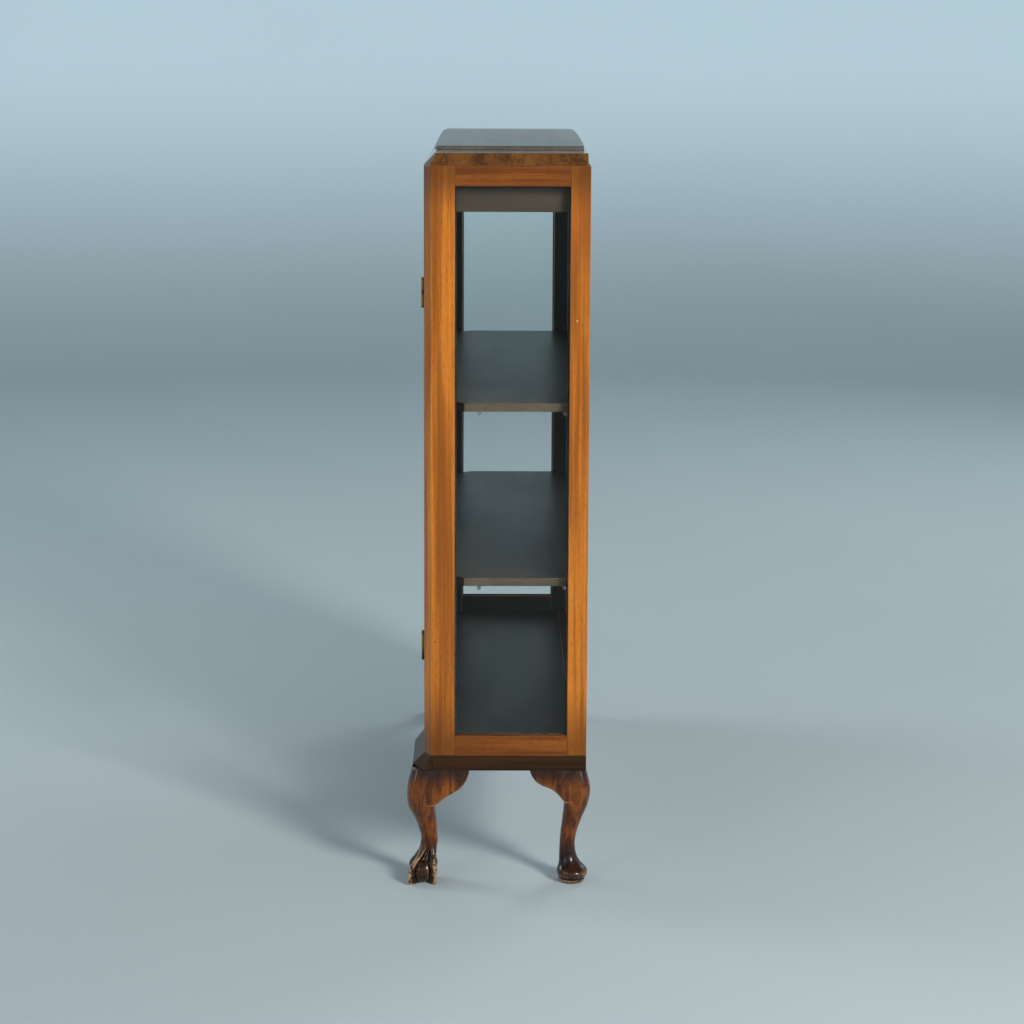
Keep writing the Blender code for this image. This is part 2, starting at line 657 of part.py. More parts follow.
def build_key(plate_front, door_axis, steel):
    """Key with an oval bow, turning about its shaft."""
    axis = add_axis("key_axis", (LOCK_X, plate_front, KEY_Z), door_axis)
    bow_back = plate_front - KEY_SHOULDER
    bow_centre = (bow_back - KEY_BOW_DEPTH / 2, KEY_Z)
    tip = BEHIND_DOOR + CHAMBER_DEPTH - GAP
    key = prism("key", circle((LOCK_X, KEY_Z), KEY_SHAFT_RADIUS, ROUND_SIDES // 2), "Y",
                bow_back - KEY_BOW_WIRE / 2, tip, steel, axis)
    half = KEY_BOW_THICKNESS / 2
    rim = oval(bow_centre, KEY_BOW_DEPTH, KEY_BOW_HEIGHT)
    eye = oval(bow_centre, KEY_BOW_DEPTH - 2 * KEY_BOW_WIRE, KEY_BOW_HEIGHT - 2 * KEY_BOW_WIRE)
    bow = prism("key_bow", rim, "X", LOCK_X - half, LOCK_X + half, steel, axis)
    hole = prism("key_bow_hole", eye, "X", LOCK_X - 2 * half, LOCK_X + 2 * half, steel, axis)
    combine(bow, hole, "DIFFERENCE")
    combine(key, bow, "UNION")
    bit = box("key_bit", (LOCK_X - KEY_BIT_THICKNESS / 2, tip - GAP - KEY_BIT_LENGTH, KEY_Z - KEY_BIT_REACH),
              (LOCK_X + KEY_BIT_THICKNESS / 2, tip - GAP, KEY_Z), steel, axis)
    combine(key, bit, "UNION")


def build_keeper(axis, brass):
    """Staple behind the left meeting stile that the bolt shoots into."""
    outer = -DOOR_GAP / 2 - KEEPER_SET_BACK
    keeper = box("lock_keeper", (outer - KEEPER_WIDTH, BEHIND_DOOR, BOLT_Z - KEEPER_HEIGHT / 2),
                 (outer, BEHIND_DOOR + CASE_DEPTH, BOLT_Z + KEEPER_HEIGHT / 2), brass, axis)
    half_y = BOLT_THICKNESS / 2 + RUNNING_GAP
    half_z = BOLT_HEIGHT / 2 + RUNNING_GAP
    slot = box("keeper_slot", (outer - KEEPER_WIDTH - GAP, BOLT_Y - half_y, BOLT_Z - half_z),
               (outer + GAP, BOLT_Y + half_y, BOLT_Z + half_z), brass, axis)
    combine(keeper, slot, "DIFFERENCE")


def build_slide_bolt(door_axis, brass):
    """Rod in its guide at the head of the left door, pushed up into the stop."""
    centre = (-LOCK_X, ROD_Y)
    guide_head = ROD_TOP - GUIDE_DROP
    guide = box("slide_bolt_guide", (-LOCK_X - GUIDE_WIDTH / 2, BEHIND_DOOR, guide_head - GUIDE_HEIGHT),
                (-LOCK_X + GUIDE_WIDTH / 2, BEHIND_DOOR + GUIDE_DEPTH, guide_head), brass, door_axis)
    bore = prism("guide_bore", circle(centre, ROD_RADIUS + RUNNING_GAP), "Z",
                 guide_head - GUIDE_HEIGHT - GAP, guide_head + GAP, brass, door_axis)
    combine(guide, bore, "DIFFERENCE")
    axis = add_axis("slide_bolt_axis", (*centre, ROD_TOP), door_axis)
    rod_foot = ROD_TOP - ROD_LENGTH
    rod = prism("slide_bolt", circle(centre, ROD_RADIUS), "Z", rod_foot, ROD_TOP, brass, axis)
    knob = prism("slide_bolt_knob", circle((-LOCK_X, rod_foot + ROD_KNOB_RISE), ROD_KNOB_RADIUS), "Y", ROD_Y,
                 ROD_Y + ROD_KNOB_REACH, brass, axis)
    combine(rod, knob, "UNION")


def main():
    for old in list(bpy.data.objects):
        bpy.data.objects.remove(old, do_unlink=True)
    frame_wood = finish("frame_wood", (0.30, 0.12, 0.030), 0.32)
    dark_wood = finish("dark_wood", (0.10, 0.045, 0.018), 0.35)
    leg_wood = finish("leg_wood", (0.22, 0.085, 0.025), 0.22)
    panel_wood = finish("panel_wood", (0.11, 0.065, 0.035), 0.60)
    glass = finish("clear_glass", (0.92, 0.97, 0.96), 0.02, transmission=1.0)
    brass = finish("aged_brass", (0.48, 0.33, 0.13), 0.38, metallic=1.0)
    steel = finish("lock_steel", (0.33, 0.31, 0.28), 0.42, metallic=1.0)

    build_side_frames(frame_wood, dark_wood, glass)
    build_carcass(frame_wood, dark_wood, panel_wood)
    build_top(dark_wood)
    build_plinth(dark_wood)
    build_legs(leg_wood)
    build_shelves(dark_wood)
    for name, side in SIDES.items():
        axis = add_axis(f"door_axis_{name}", (side * HINGE_X, HINGE_Y, DOOR_FOOT))
        stile = build_door(name, side, axis, frame_wood, glass)
        build_hinge(f"lower_{name}", side, axis, DOOR_FOOT + HINGE_INSET, brass)
        build_hinge(f"upper_{name}", side, axis, DOOR_HEAD - HINGE_INSET - HINGE_LENGTH, brass)
        if name == "right":
            build_lock(stile, axis, brass, steel)
        else:
            build_keeper(axis, brass)
            build_slide_bolt(axis, brass)


main()
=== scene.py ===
"""Looks of a glazed china cabinet on cabriole legs, built round its fixed frame. Metres, +Z up."""

from __future__ import annotations

import logging
import math
from dataclasses import dataclass, field
from enum import Enum
from typing import Sequence

import bmesh
import bpy
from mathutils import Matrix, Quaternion, Vector

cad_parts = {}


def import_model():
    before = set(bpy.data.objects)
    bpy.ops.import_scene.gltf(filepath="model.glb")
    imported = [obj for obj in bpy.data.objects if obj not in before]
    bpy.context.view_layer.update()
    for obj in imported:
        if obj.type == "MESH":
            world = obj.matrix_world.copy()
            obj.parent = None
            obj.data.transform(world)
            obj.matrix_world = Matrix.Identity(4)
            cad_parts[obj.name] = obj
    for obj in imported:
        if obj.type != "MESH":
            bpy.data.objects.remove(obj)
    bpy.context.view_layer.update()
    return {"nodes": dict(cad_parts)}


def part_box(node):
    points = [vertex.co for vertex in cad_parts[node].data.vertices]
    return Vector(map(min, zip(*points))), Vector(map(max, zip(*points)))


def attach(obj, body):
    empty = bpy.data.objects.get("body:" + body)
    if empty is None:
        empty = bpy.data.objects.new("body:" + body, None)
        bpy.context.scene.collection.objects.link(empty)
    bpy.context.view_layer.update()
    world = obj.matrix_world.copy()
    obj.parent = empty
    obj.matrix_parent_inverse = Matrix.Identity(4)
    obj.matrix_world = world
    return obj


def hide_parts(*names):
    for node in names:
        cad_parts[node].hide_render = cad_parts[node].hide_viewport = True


LOG = logging.getLogger("cabinet")
Colour = tuple[float, float, float]
Point = tuple[float, float, float]
Curve = Sequence[tuple[float, float]]
Socket = bpy.types.NodeSocket
Value = Socket | float
SHORT_WORDS: dict[str, str] = {"ior": "IOR"}
SIDES: dict[str, int] = {"right": 1, "left": -1}


class Grain(Enum):
    """Way that the grain of a board runs."""

    ALONG_X = (1, 0, 0)
    ALONG_Y = (0, 1, 0)
    UPRIGHT = (0, 0, 1)


class Foot(Enum):
    """Kind of foot that a leg ends in."""

    CLAW_AND_BALL = "claw_and_ball"
    PAD = "pad"


class Face(Enum):
    """Outward side of a board that a detail sits on."""

    PLUS_X = (1, 0, 0)
    MINUS_X = (-1, 0, 0)
    PLUS_Y = (0, 1, 0)
    MINUS_Y = (0, -1, 0)


# ----------------------------------------------------------------------------------------------- finishes


class NodeBoard:
    """Node tree of one material, with short calls for the nodes that the finishes share."""

    def __init__(self, name: str) -> None:
        """Start a material with a shader, an output and object coordinates.

        Args:
            name: Name of the material.
        """
        self.material = bpy.data.materials.new(name)
        self.material.use_nodes = True
        self.tree = self.material.node_tree
        self.tree.nodes.clear()
        output = self.add("ShaderNodeOutputMaterial")
        self.shader = self.add("ShaderNodeBsdfPrincipled")
        self.link(self.shader.outputs[0], output.inputs["Surface"])
        self.coords = self.add("ShaderNodeTexCoord")

    def add(self, kind: str, **values: Value | Point) -> bpy.types.Node:
        """Add a node of one kind, with what goes into its inputs."""
        node = self.tree.nodes.new(kind)
        self.fill(node, values)
        return node

    def fill(self, node: bpy.types.Node, values: dict[str, Value | Point]) -> None:
        """Fill a node's inputs, each named as on the node with underscores for spaces."""
        for name, value in values.items():
            words = " ".join(SHORT_WORDS.get(word, word.title()) for word in name.split("_"))
            self.put(node.inputs[words], value)

    def link(self, source: Socket, target: Socket) -> None:
        """Join two sockets."""
        self.tree.links.new(source, target)

    def put(self, target: Socket, value: Value | Point) -> None:
        """Give an input a number, a point, a colour or another node's output.

        Args:
            target: Input socket to fill.
            value: Socket, number, or point or colour of three parts.
        """
        if isinstance(value, Socket):
            self.link(value, target)
        elif isinstance(value, tuple):
            target.default_value = (*value, 1.0)[:len(target.default_value)]
        else:
            target.default_value = value

    def noise(self, scale: Point, detail: float = 3.0, twist: float = 0.0, shift: float = 0.0) -> Socket:
        """Noise with its own scale along each axis.

        Args:
            scale: Waves per metre along X, Y and Z.
            detail: Octaves of finer noise.
            twist: Distortion of the pattern.
            shift: Offset that makes one pattern differ from another.

        Returns:
            The factor output, about 0 to 1.
        """
        mapping = self.add("ShaderNodeMapping", vector=self.coords.outputs["Object"], scale=scale,
                           location=(shift, shift * 0.7, shift * 1.3))
        texture = self.add("ShaderNodeTexNoise", vector=mapping.outputs[0], scale=1.0, detail=detail,
                           distortion=twist)
        return texture.outputs["Fac"]

    def ramp(self, source: Socket, low: float, high: float) -> Socket:
        """Stretch a stretch of values to 0 to 1, clamped.

        Args:
            source: Value to stretch.
            low: Value that becomes 0.
            high: Value that becomes 1.

        Returns:
            The stretched value.
        """
        node = self.add("ShaderNodeMapRange", value=source, from_min=low, from_max=high)
        node.interpolation_type = "SMOOTHSTEP"
        return node.outputs["Result"]

    def between(self, source: Socket, low: float, high: float) -> Socket:
        """Spread a 0 to 1 value over another stretch."""
        return self.add("ShaderNodeMapRange", value=source, to_min=low, to_max=high).outputs["Result"]

    def calculate(self, kind: str, first: Value, second: Value) -> Socket:
        """Arithmetic on two values.

        Args:
            kind: Name of the operation, such as MULTIPLY.
            first: Socket or number.
            second: Socket or number.

        Returns:
            The result, clamped to 0 to 1.
        """
        node = self.add("ShaderNodeMath")
        node.operation = kind
        node.use_clamp = True
        self.put(node.inputs[0], first)
        self.put(node.inputs[1], second)
        return node.outputs[0]

    def times(self, first: Value, second: Value) -> Socket:
        """Product of two values."""
        return self.calculate("MULTIPLY", first, second)

    def plus(self, first: Value, second: Value) -> Socket:
        """Sum of two values."""
        return self.calculate("ADD", first, second)

    def minus(self, first: Value, second: Value) -> Socket:
        """Difference of two values."""
        return self.calculate("SUBTRACT", first, second)

    def inverse(self, value: Value) -> Socket:
        """1 less a value."""
        return self.minus(1.0, value)

    def shade(self, **values: Value | Colour) -> None:
        """Fill the shader's inputs."""
        self.fill(self.shader, values)

    def mix(self, share: Value, first: Socket | Colour, second: Socket | Colour) -> Socket:
        """Blend two colours.

        Args:
            share: How much of the second colour shows, 0 to 1.
            first: Socket or colour.
            second: Socket or colour.

        Returns:
            The blended colour.
        """
        node = self.add("ShaderNodeMix")
        node.data_type = "RGBA"
        self.put(node.inputs["Factor"], share)
        self.put(node.inputs[6], first)
        self.put(node.inputs[7], second)
        return node.outputs[2]

    def agreement(self, first: Socket, second: Socket | Point, low: float, high: float) -> Socket:
        """How nearly two directions agree.

        Args:
            first: One direction.
            second: The other direction.
            low: Cosine that becomes 0.
            high: Cosine that becomes 1.

        Returns:
            The agreement, 0 to 1.
        """
        node = self.add("ShaderNodeVectorMath")
        node.operation = "DOT_PRODUCT"
        self.put(node.inputs[0], first)
        self.put(node.inputs[1], second)
        return self.ramp(node.outputs["Value"], low, high)

    def facing(self, direction: Point, low: float = 0.55, high: float = 0.75) -> Socket:
        """1 on faces that look along a direction of the object, 0 on the others."""
        return self.agreement(self.coords.outputs["Normal"], direction, low, high)

    def height_above(self, low: float, high: float) -> Socket:
        """0 below one height and 1 above another, with a soft step between."""
        split = self.add("ShaderNodeSeparateXYZ")
        self.link(self.coords.outputs["Object"], split.inputs[0])
        return self.ramp(split.outputs["Z"], low, high)

    def arris_wear_and_highlight(self, radius: float) -> Socket:
        """1 on arrises and 0 on flats, from how a rounded normal differs from the true one."""
        rounded = self.add("ShaderNodeBevel", radius=radius)
        rounded.samples = 4
        geometry = self.add("ShaderNodeNewGeometry")
        return self.inverse(self.agreement(rounded.outputs[0], geometry.outputs["Normal"], 0.90, 0.995))

    def bump(self, height: Socket, strength: float, depth: float) -> None:
        """Give the shader a bump from a height.

        Args:
            height: Height pattern, 0 to 1.
            strength: How much of it shows.
            depth: Depth of a full step, in metres.
        """
        node = self.add("ShaderNodeBump", height=height, strength=strength, distance=depth)
        self.link(node.outputs[0], self.shader.inputs["Normal"])


@dataclass(frozen=True)
class Timber:
    """Varnished wood with grain, pores, cloudy stain and rubbed edges, whose pale colour is partly a painted
    highlight along the arrises.
    """

    name: str
    deep: Colour
    light: Colour
    pore: Colour
    # Pale colour of rubbed arrises, which also paints the highlight that light leaves along the edges.
    wear: Colour
    roughness: tuple[float, float] = (0.26, 0.42)
    coat: float = 0.06
    coat_roughness: float = 0.16
    shine: float = 0.22
    relief: float = 0.35
    wear_and_highlight_amount: float = 0.45
    cloud_amount: float = 0.45
    pore_amount: float = 0.55
    inside: Colour = (0.020, 0.016, 0.013)
    figure_waves: tuple[float, float] = (26.0, 1.6)
    streak_waves: tuple[float, float] = (210.0, 4.0)
    fleck_waves: tuple[float, float] = (1500.0, 90.0)
    cloud_waves: tuple[float, float] = (11.0, 5.0)
    edge_radius: float = 0.0014
    # Reach of the darker colour below the top and above the foot of an upright board.
    top_darkening: tuple[float, float] = (0.085, 0.005)
    foot_darkening: tuple[float, float] = (0.010, 0.130)

    def make(
        self,
        grain: Grain,
        shift: float = 0.0,
        inner: Point | None = None,
        ends: tuple[float, float] | None = None,
        raw_end: Colour | None = None,
    ) -> bpy.types.Material:
        """Build the material for boards of one grain direction.

        Args:
            grain: Way that the grain runs.
            shift: Offset that makes this board's figure its own.
            inner: Direction of the faces inside the case, which are made dark.
            ends: Lowest and highest point of an upright board, darkened near both.
            raw_end: Colour of bare end grain on faces along X.

        Returns:
            The finished material.
        """
        board = NodeBoard(f"{self.name}_{grain.name.lower()}_{shift:.0f}")
        across = tuple(1 - part for part in grain.value)

        def stretch(waves: tuple[float, float]) -> Point:
            """Waves per metre along each axis, from those across and along the grain."""
            return tuple(waves[0] * a + waves[1] * g for a, g in zip(across, grain.value))

        figure = board.noise(stretch(self.figure_waves), 4.0, 1.1, shift)
        streak = board.noise(stretch(self.streak_waves), 3.0, 0.2, shift + 3.0)
        fleck = board.noise(stretch(self.fleck_waves), 2.0, 0.0, shift + 5.0)
        cloud = board.noise(stretch(self.cloud_waves), 3.0, 0.5, shift + 9.0)
        tone = board.plus(board.times(figure, 0.60), board.times(streak, 0.42))
        colour = board.mix(board.ramp(tone, 0.36, 0.66), self.deep, self.light)
        pores = board.ramp(fleck, 0.56, 0.68)
        colour = board.mix(board.times(pores, self.pore_amount), colour, self.pore)
        clouds = board.times(board.ramp(cloud, 0.46, 0.72), self.cloud_amount)
        colour = board.mix(clouds, colour, self.deep)
        # Darker near the top and the foot of an upright board, mottled by the clouds.
        if ends:
            low, high = ends
            top = board.height_above(high - self.top_darkening[0], high - self.top_darkening[1])
            foot = board.inverse(board.height_above(low + self.foot_darkening[0], low + self.foot_darkening[1]))
            dark = board.times(board.plus(top, foot), board.between(cloud, 0.50, 1.0))
            dull = tuple(0.40 * part for part in self.deep)
            colour = board.mix(dark, colour, dull)
        # Pale arrises: partly rubbed wear, partly a painted highlight along the edges.
        worn = board.times(board.arris_wear_and_highlight(self.edge_radius), board.ramp(cloud, 0.30, 0.60))
        colour = board.mix(board.times(worn, self.wear_and_highlight_amount), colour, self.wear)
        rough = board.between(board.plus(board.times(cloud, 0.7), board.times(pores, 0.3)),
                              *self.roughness)
        if inner:
            inside = board.facing(inner)
            paler = tuple(1.5 * part for part in self.inside)
            shade = board.mix(board.ramp(streak, 0.3, 0.7), self.inside, paler)
            colour = board.mix(inside, colour, shade)
        if raw_end:
            ends_of_shelf = (board.facing((sign, 0, 0), 0.7, 0.9) for sign in SIDES.values())
            end_face = board.plus(*ends_of_shelf)
            fibre = board.noise((1.0, 260.0, 700.0), 3.0, 0.3, shift + 12.0)
            knot = board.ramp(board.noise((1.0, 38.0, 60.0), 1.0, 0.0, shift + 15.0), 0.66, 0.72)
            bare = board.mix(board.ramp(fibre, 0.3, 0.7), tuple(0.55 * part for part in raw_end), raw_end)
            bare = board.mix(knot, bare, tuple(0.25 * part for part in raw_end))
            colour = board.mix(end_face, colour, bare)
            rough = board.plus(rough, board.times(end_face, 0.4))
        board.shade(base_color=colour, roughness=rough, specular_ior_level=self.shine, coat_weight=self.coat,
                    coat_roughness=self.coat_roughness)
        relief = board.minus(board.between(streak, 0.45, 0.75), board.times(pores, 0.35))
        board.bump(relief, self.relief, 0.0002)
        return board.material


@dataclass(frozen=True)
class CarvedTimber:
    """Glossy varnish over carved wood, worn pale on what stands out, with painted shade in the hollows and
    just below the plinth and a painted reflection of a dark floor near the foot.
    """

    name: str
    deep: Colour
    light: Colour
    # Colour of the pores, also used for the painted shade below the plinth and in the hollows and for the
    # painted dark floor reflection near the foot.
    dark: Colour
    wear: Colour
    plinth_height: float
    foot_height: float

    def make(self) -> bpy.types.Material:
        """Build the material.

        Returns:
            The finished material.
        """
        board = NodeBoard(self.name)
        figure = board.noise((60.0, 60.0, 9.0), 4.0, 1.2, 2.0)
        fleck = board.noise((1300.0, 1300.0, 120.0), 2.0, 0.0, 6.0)
        cloud = board.noise((26.0, 26.0, 20.0), 3.0, 0.4, 11.0)
        speck = board.noise((300.0, 300.0, 260.0), 2.0, 0.0, 17.0)
        colour = board.mix(board.ramp(figure, 0.34, 0.66), self.deep, self.light)
        colour = board.mix(board.times(board.ramp(fleck, 0.52, 0.66), 0.55), colour, self.dark)
        # Painted shade on the legs just below the plinth, mottled by the clouds.
        shade_below_plinth = board.height_above(self.plinth_height - 0.034, self.plinth_height - 0.004)
        upper = board.times(shade_below_plinth, board.between(cloud, 0.65, 1.0))
        colour = board.mix(upper, colour, self.dark)
        # Painted reflection of a dark floor, darkening the leg near the foot.
        lower = board.inverse(board.height_above(self.foot_height * 1.3, self.foot_height * 2.4))
        colour = board.mix(board.times(lower, board.between(cloud, 0.75, 1.0)), colour, self.dark)
        geometry = board.add("ShaderNodeNewGeometry")
        ridge = board.ramp(geometry.outputs["Pointiness"], 0.505, 0.545)
        rubbed = board.plus(board.times(cloud, 0.6), board.times(speck, 0.4))
        worn = board.times(ridge, board.ramp(rubbed, 0.42, 0.56))
        clear = board.inverse(board.height_above(self.plinth_height - 0.012, self.plinth_height - 0.004))
        colour = board.mix(board.times(board.times(worn, clear), 0.85), colour, self.wear)
        # Painted shade in the hollows of the carving, where the pointiness is low.
        hollow_shade = board.inverse(board.ramp(geometry.outputs["Pointiness"], 0.455, 0.492))
        colour = board.mix(board.times(hollow_shade, 0.8), colour, tuple(0.3 * part for part in self.dark))
        board.shade(base_color=colour, roughness=board.between(cloud, 0.16, 0.34), specular_ior_level=0.2,
                    coat_weight=0.30, coat_roughness=0.05)
        board.bump(board.plus(board.times(cloud, 0.6), board.times(fleck, 0.3)), 0.25, 0.0006)
        return board.material


@dataclass(frozen=True)
class Glazing:
    """Old clear glass, faintly green, with wiped smears and a slight wave."""

    name: str
    tint: Colour = (0.955, 0.985, 0.975)
    dusty: Colour = (0.88, 0.92, 0.90)
    ior: float = 1.22

    def make(self) -> bpy.types.Material:
        """Build the material.

        Returns:
            The finished material.
        """
        board = NodeBoard(self.name)
        smear = board.noise((5.0, 5.0, 14.0), 4.0, 2.0, 4.0)
        wave = board.noise((3.0, 3.0, 5.0), 1.0, 0.3, 8.0)
        dust = board.ramp(board.noise((420.0, 420.0, 420.0), 1.0, 0.0, 1.0), 0.72, 0.80)
        board.shade(base_color=board.mix(dust, self.tint, self.dusty), ior=self.ior, transmission_weight=1.0,
                    roughness=board.times(board.ramp(smear, 0.62, 0.85), 0.006))
        board.bump(wave, 0.05, 0.0002)
        return board.material


@dataclass(frozen=True)
class OldMetal:
    """Metal with tarnish in the hollows of a fine cast or rolled surface."""

    name: str
    bright: Colour
    tarnish: Colour
    roughness: tuple[float, float] = (0.28, 0.52)

    def make(self) -> bpy.types.Material:
        """Build the material.

        Returns:
            The finished material.
        """
        board = NodeBoard(self.name)
        patch = board.noise((90.0, 90.0, 90.0), 4.0, 0.5, 1.0)
        scratch = board.noise((1800.0, 260.0, 260.0), 2.0, 0.0, 7.0)
        share = board.ramp(board.plus(board.times(patch, 0.75), board.times(scratch, 0.25)),
                           0.38, 0.64)
        board.shade(base_color=board.mix(share, self.bright, self.tarnish), metallic=1.0,
                    roughness=board.between(share, *self.roughness))
        board.bump(scratch, 0.15, 0.0001)
        return board.material


@dataclass(frozen=True)
class StudioFloor:
    """Plain pale floor and wall, faintly mottled, with an even light of its own on the wall."""

    colour: Colour = (0.46, 0.52, 0.54)
    glow: Colour = (0.245, 0.330, 0.375)
    glow_strength: float = 1.0
    glow_heights: tuple[float, float] = (-0.1, 1.35)

    def make(self) -> bpy.types.Material:
        """Build the material.

        Returns:
            The finished material.
        """
        board = NodeBoard("studio_floor")
        patch = board.noise((1.3, 1.3, 1.3), 4.0, 0.2, 0.0)
        lighter = tuple(1.06 * part for part in self.colour)
        raised = board.height_above(*self.glow_heights)
        board.shade(base_color=board.mix(patch, self.colour, lighter), specular_ior_level=0.1,
                    roughness=board.between(patch, 0.55, 0.70), emission_color=self.glow,
                    emission_strength=board.times(raised, self.glow_strength))
        return board.material


# ------------------------------------------------------------------------------------------ mesh helpers


def new_piece(name: str, shape: bmesh.types.BMesh, material: bpy.types.Material, body: str,
              crease: float = 38.0) -> bpy.types.Object:
    """Turn a bmesh into a shown piece that rides on a body.

    Args:
        name: Name of the piece.
        shape: Mesh to take; it is freed.
        material: Finish of the piece.
        body: Body that it moves with.
        crease: Angle in degrees over which an edge stays crisp.

    Returns:
        The new object.
    """
    bmesh.ops.recalc_face_normals(shape, faces=shape.faces)
    mesh = bpy.data.meshes.new(name)
    shape.to_mesh(mesh)
    shape.free()
    mesh.materials.append(material)
    mesh.shade_smooth()
    mesh.set_sharp_from_angle(angle=math.radians(crease))
    piece = bpy.data.objects.new(name, mesh)
    bpy.context.scene.collection.objects.link(piece)
    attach(piece, body)
    return piece


def add_loft(shape: bmesh.types.BMesh, rings: Sequence[Sequence[Point]], closed: bool = False) -> None:
    """Skin a run of closed rings, with flat caps unless the run closes on itself.

    Args:
        shape: Mesh to add to.
        rings: Rings of equally many points.
        closed: Whether the last ring joins the first.
    """
    loops = [[shape.verts.new(point) for point in ring] for ring in rings]
    pairs = list(zip(loops, loops[1:]))
    if closed:
        pairs.append((loops[-1], loops[0]))
    for lower, upper in pairs:
        for i in range(len(lower)):
            shape.faces.new((lower[i - 1], lower[i], upper[i], upper[i - 1]))
    if not closed:
        shape.faces.new(loops[0])
        shape.faces.new(loops[-1])


def ease_arrises(piece: bpy.types.Object, width: float) -> bpy.types.Modifier:
    """Round a piece's sharp edges, and give the modifier that does it."""
    bevel = piece.modifiers.new("arris", "BEVEL")
    bevel.width = width
    bevel.segments = 3
    bevel.limit_method = "ANGLE"
    bevel.angle_limit = math.radians(24)
    return bevel


def frame_axes(face: Face) -> tuple[Vector, Vector, Vector]:
    """Two directions in a face and its outward normal."""
    normal = Vector(face.value)
    across = Vector((0, 0, 1)).cross(normal)
    return across, Vector((0, 0, 1)), normal


def add_turned(shape: bmesh.types.BMesh, centre: Vector, face: Face, profile: Curve,
               sides: int = 20) -> None:
    """Add a turned shape that stands on a face.

    Args:
        shape: Mesh to add to.
        centre: Middle of its foot.
        face: Face that it stands on.
        profile: Radius and height of each level, foot first.
        sides: Points round each level.
    """
    across, up, normal = frame_axes(face)
    rings = []
    for radius, height in profile:
        ring = []
        for i in range(sides):
            turn = math.tau * i / sides
            ring.append(centre + normal * height + (across * math.cos(turn) + up * math.sin(turn)) * radius)
        rings.append(ring)
    add_loft(shape, rings)


def add_slotted_head(shape: bmesh.types.BMesh, centre: Vector, face: Face, radius: float, height: float,
                     turn: float) -> None:
    """Add a screw head: a low disc with two raised halves and a slot between.

    Args:
        shape: Mesh to add to.
        centre: Middle of its foot.
        face: Face that it stands on.
        radius: Radius of the head.
        height: Height of the head.
        turn: Angle of the slot, in radians.
    """
    across, up, normal = frame_axes(face)
    add_turned(shape, centre, face, [(radius, 0.0), (radius, height * 0.45)])
    along = across * math.cos(turn) + up * math.sin(turn)
    beside = normal.cross(along)
    half_slot = radius * 0.16
    start = math.asin(half_slot / radius)
    for sign in (1, -1):
        rings = []
        for share, rise in ((1.0, height * 0.3), (1.0, height * 0.8), (0.86, height)):
            ring = []
            for i in range(13):
                angle = start + (math.pi - 2 * start) * i / 12
                out = beside * sign * (half_slot + (radius * math.sin(angle) - half_slot) * share)
                ring.append(centre + normal * rise + along * radius * share * math.cos(angle) + out)
            rings.append(ring)
        add_loft(shape, rings)


def smooth_value(points: Curve, place: float) -> float:
    """Value of a smooth curve through points, at a place.

    Args:
        points: Places and values, in rising order of place.
        place: Where to read the curve.

    Returns:
        The value there, held level past both ends.
    """
    if place <= points[0][0]:
        return points[0][1]
    if place >= points[-1][0]:
        return points[-1][1]
    index = max(i for i, (start, _) in enumerate(points) if start <= place)
    start, low = points[index]
    end, high = points[index + 1]
    before = points[max(index - 1, 0)]
    after = points[min(index + 2, len(points) - 1)]
    length = end - start
    share = (place - start) / length
    rise = (high - before[1]) / (end - before[0]) * length
    fall = (after[1] - low) / (after[0] - start) * length
    square = share * share
    cube = square * share
    return ((2 * cube - 3 * square + 1) * low + (cube - 2 * square + share) * rise
            + (3 * square - 2 * cube) * high + (cube - square) * fall)


def ease(value: float) -> float:
    """Smooth step from 0 to 1."""
    held = min(1.0, max(0.0, value))
    return held * held * (3 - 2 * held)


# -------------------------------------------------------------------------------------------- the pieces


